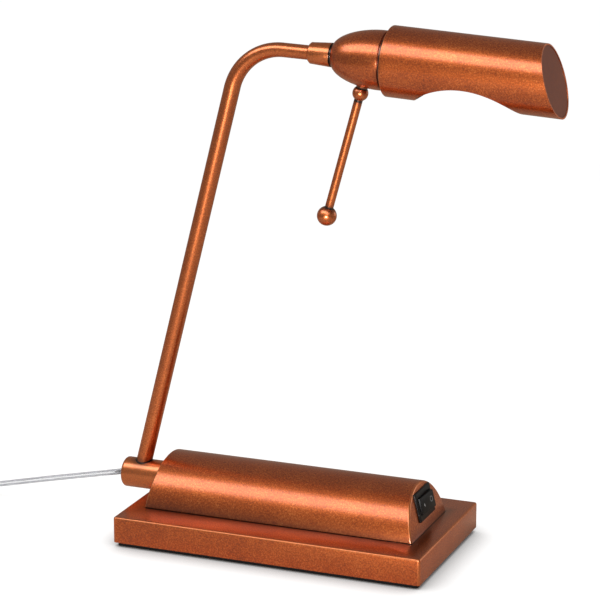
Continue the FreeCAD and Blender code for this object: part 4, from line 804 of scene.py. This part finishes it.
def smooth_line(points):
    """NURBS curve of the route, with no thickness."""
    data = bpy.data.curves.new("cord_route", "CURVE")
    data.dimensions = "3D"
    spline = data.splines.new("NURBS")
    spline.points.add(len(points) - 1)
    for target, point in zip(spline.points, points):
        target.co = (*(point * MM), 1)
    spline.order_u = 3
    spline.use_endpoint_u = True
    spline.resolution_u = 6
    return put("cord_route", data)


def make_cord(sleeve, strands, solids):
    """Clear flat twin cord: a sleeve with two lobes, and a bundle of strands in each."""
    route = smooth_line(cord_points())
    line = [v.co / MM for v in evaluated_mesh(route).vertices]
    bpy.data.objects.remove(route)
    outline = []
    for side in (1, -1):
        for i in range(9):
            angle = math.pi * (i / 8) - math.pi / 2
            outline.append((side * (LOBE_AT + LOBE_R * math.cos(angle)), side * LOBE_R * math.sin(angle)))
        outline.append((0, side * WEB_HALF))
    tube = swept("cord_sleeve", line, outline, sleeve)
    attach(tube, "base")
    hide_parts(*solids)
    cores = []
    for side, name in ((-1, "cord_strands_near"), (1, "cord_strands_far")):
        turns = [2 * math.pi * i / 10 for i in range(10)]
        ring = [(side * LOBE_AT + STRANDS_R * math.cos(a), STRANDS_R * math.sin(a)) for a in turns]
        core = swept(name, line, ring, strands)
        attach(core, "base")
        cores.append(core)
    return tube, cores, [p * MM for p in line]


def swept(name, line, outline, material):
    """Section of (across, up) points carried along a line, with a length map.

    The section lies flat on the table and stands on edge near the lamp.
    """
    bm = bmesh.new()
    map_layer = bm.loops.layers.uv.new("length")
    rings, travelled, run = [], 0.0, [0.0]
    for i, point in enumerate(line):
        before, after = line[max(i - 1, 0)], line[min(i + 1, len(line) - 1)]
        way = (after - before).normalized()
        side = way.cross(Z).normalized()
        up = side.cross(way).normalized()
        on_edge = (point.x - CORD_FLAT_X) / (CORD_ON_EDGE_X - CORD_FLAT_X)
        twist = math.radians(CORD_TWIST) * min(max(on_edge, 0), 1)
        side, up = side * math.cos(twist) + up * math.sin(twist), up * math.cos(twist) - side * math.sin(twist)
        rings.append([bm.verts.new(point + side * a + up * b) for a, b in outline])
        travelled += (after - point).length
        run.append(travelled)
    count, map_length = len(outline), 3.0
    for i, (ring, other) in enumerate(zip(rings, rings[1:])):
        for j in range(count):
            k = (j + 1) % count
            face = bm.faces.new((ring[j], ring[k], other[k], other[j]))
            for loop, uv in zip(face.loops, ((j, i), (j + 1, i), (j + 1, i + 1), (j, i + 1))):
                loop[map_layer].uv = (uv[0] / count, run[uv[1]] / map_length)
    bm.faces.new(rings[0][::-1])
    bm.faces.new(rings[-1])
    thing = put(name, drawn(name, bm))
    thing.data.shade_smooth()
    thing.data.materials.append(material)
    return thing


# Stage
def white_floor():
    """Seen white with soft contact shadows, and reflected dimmer and warmer by the metal."""
    s = Shader("white_floor")
    rays = s.node("ShaderNodeLightPath", {}, {})
    direct = s.limit(rays["Is Camera Ray"] + rays["Is Transmission Ray"])
    lit, reflected, seen = grey(0.9), (0.69, 0.60, 0.50, 1.0), grey(0.25)
    s.finish(Base_Color=s.mix(direct, s.mix(rays["Is Glossy Ray"], lit, reflected), seen), Roughness=1.0)
    corner = s.node("ShaderNodeAmbientOcclusion", {"samples": 12}, {"Distance": 0.025})["AO"]
    glow = s.ramp(corner, ((0.25, grey(0.05)), (0.92, grey(0.94))))
    s.finish(Emission_Color=s.mix(direct, grey(0.0), glow), Emission_Strength=1.0)
    return s.material


def set_floor():
    bm = bmesh.new()
    bmesh.ops.create_grid(bm, x_segments=1, y_segments=1, size=1.2)
    mesh = bpy.data.meshes.new("floor")
    bm.to_mesh(mesh)
    bm.free()
    floor = put("floor", mesh)
    floor.data.materials.append(white_floor())
    floor.location.z = -0.0002


def set_surround():
    """White to the camera and through clear pieces, dim to the metal."""
    world = bpy.data.worlds.new("surround")
    bpy.context.scene.world = world
    world.use_nodes = True
    tree = world.node_tree
    rays, direct, mix = (tree.nodes.new("ShaderNode" + kind) for kind in ("LightPath", "Math", "Mix"))
    direct.operation, mix.data_type = "MAXIMUM", "RGBA"
    factor, dim, white, result = mix.inputs[0], mix.inputs[6], mix.inputs[7], mix.outputs[2]
    dim.default_value, white.default_value = (0.25, 0.225, 0.20, 1.0), grey(1.02)
    tree.links.new(rays.outputs["Is Camera Ray"], direct.inputs[0])
    tree.links.new(rays.outputs["Is Transmission Ray"], direct.inputs[1])
    tree.links.new(direct.outputs[0], factor)
    tree.links.new(result, tree.nodes["Background"].inputs["Color"])


def soft_light(name, place, size, power):
    data = bpy.data.lights.new(name, "AREA")
    data.shape, data.energy = "RECTANGLE", power
    data.size, data.size_y = size
    lamp = put(name, data)
    lamp.location, lamp.rotation_euler = place, aim(place, LIT_POINT)
    lamp.visible_camera = False


set_camera()
bpy.context.scene.view_settings.view_transform = "Standard"
set_floor()
set_surround()
for light in LIGHTS:
    soft_light(*light)

copper = antique_copper("antique_copper")
# Painted shade darkens the coppers below beside their joints.
housing_copper = antique_copper("housing_copper", beside_housing, reach=0.016)
# Hub, arm, handle and collar also get a painted highlight that lifts their whole colour.
hub_copper = antique_copper("hub_copper", beside_hub, reach=0.004, rough=0.26, painted_highlight_lift=0.4)
arm_copper = antique_copper("arm_copper", beside_foot, reach=0.004, rough=0.24, painted_highlight_lift=0.2)
handle_copper = antique_copper("handle_copper", beside_handle, reach=0.003, rough=0.26, painted_highlight_lift=0.2)
dome_copper = antique_copper("dome_copper", beside_shade, reach=0.005, line=0.0026, rough=0.24)
collar_copper = antique_copper("collar_copper", beside_shade, reach=0.005, line=0.0026, rough=0.24, painted_highlight_lift=0.3)
brown = brown_lacquer()
rubber = moulded("black_rubber", rgb(14, 14, 15), rgb(8, 8, 9), 0.8, grain=700, shine=0.3)
switch_black = moulded("switch_black", rgb(14, 14, 15), rgb(7, 7, 8), 0.3, shine=0.2)
black = moulded("black_moulding", rgb(34, 34, 36), rgb(20, 20, 21), 0.55)
white = moulded("white_moulding", rgb(232, 230, 224), rgb(214, 211, 204), 0.45)
wire = moulded("wire_sleeve", rgb(226, 222, 214), rgb(206, 201, 192), 0.4)
grey_mark = moulded("grey_mark", rgb(158, 160, 164), rgb(126, 128, 132), 0.6)
white_mark = moulded("white_mark", rgb(244, 244, 244), rgb(226, 226, 228), 0.5)
steel = bare_metal("plated_steel", rgb(186, 188, 190), 0.3)
brass = bare_metal("bare_brass", rgb(204, 170, 96), 0.28)
nickel = bare_metal("bright_nickel", rgb(208, 206, 200), 0.16)
casting = raw_casting()
sleeve = clear_sleeve()
strands = tinned_strands()
glass = clear_glass()
finishes = {
    "copper": copper, "rim_brown": brown, "black_pad": rubber, "black_switch": switch_black,
    "black_plastic": black, "clear_cord": sleeve, "clear_plug": sleeve, "steel": steel,
    "cast_iron": casting, "brass": brass, "white_plastic": white, "wire_sleeve": wire,
    "nickel": nickel, "bulb_glass": glass,
}
paint_cad_nodes(finishes)

cord, cord_cores, cord_path = make_cord(sleeve, strands, ["mains_cord", "cord_coil", "plug_cord"])

make_base(housing_copper, rubber)
make_cover(housing_copper)
make_hub(hub_copper)
make_arm(arm_copper)
make_collar(collar_copper)
make_dome(dome_copper)
make_handle(handle_copper)
make_shade(copper, brown)
make_switch(switch_black, white_mark, grey_mark)
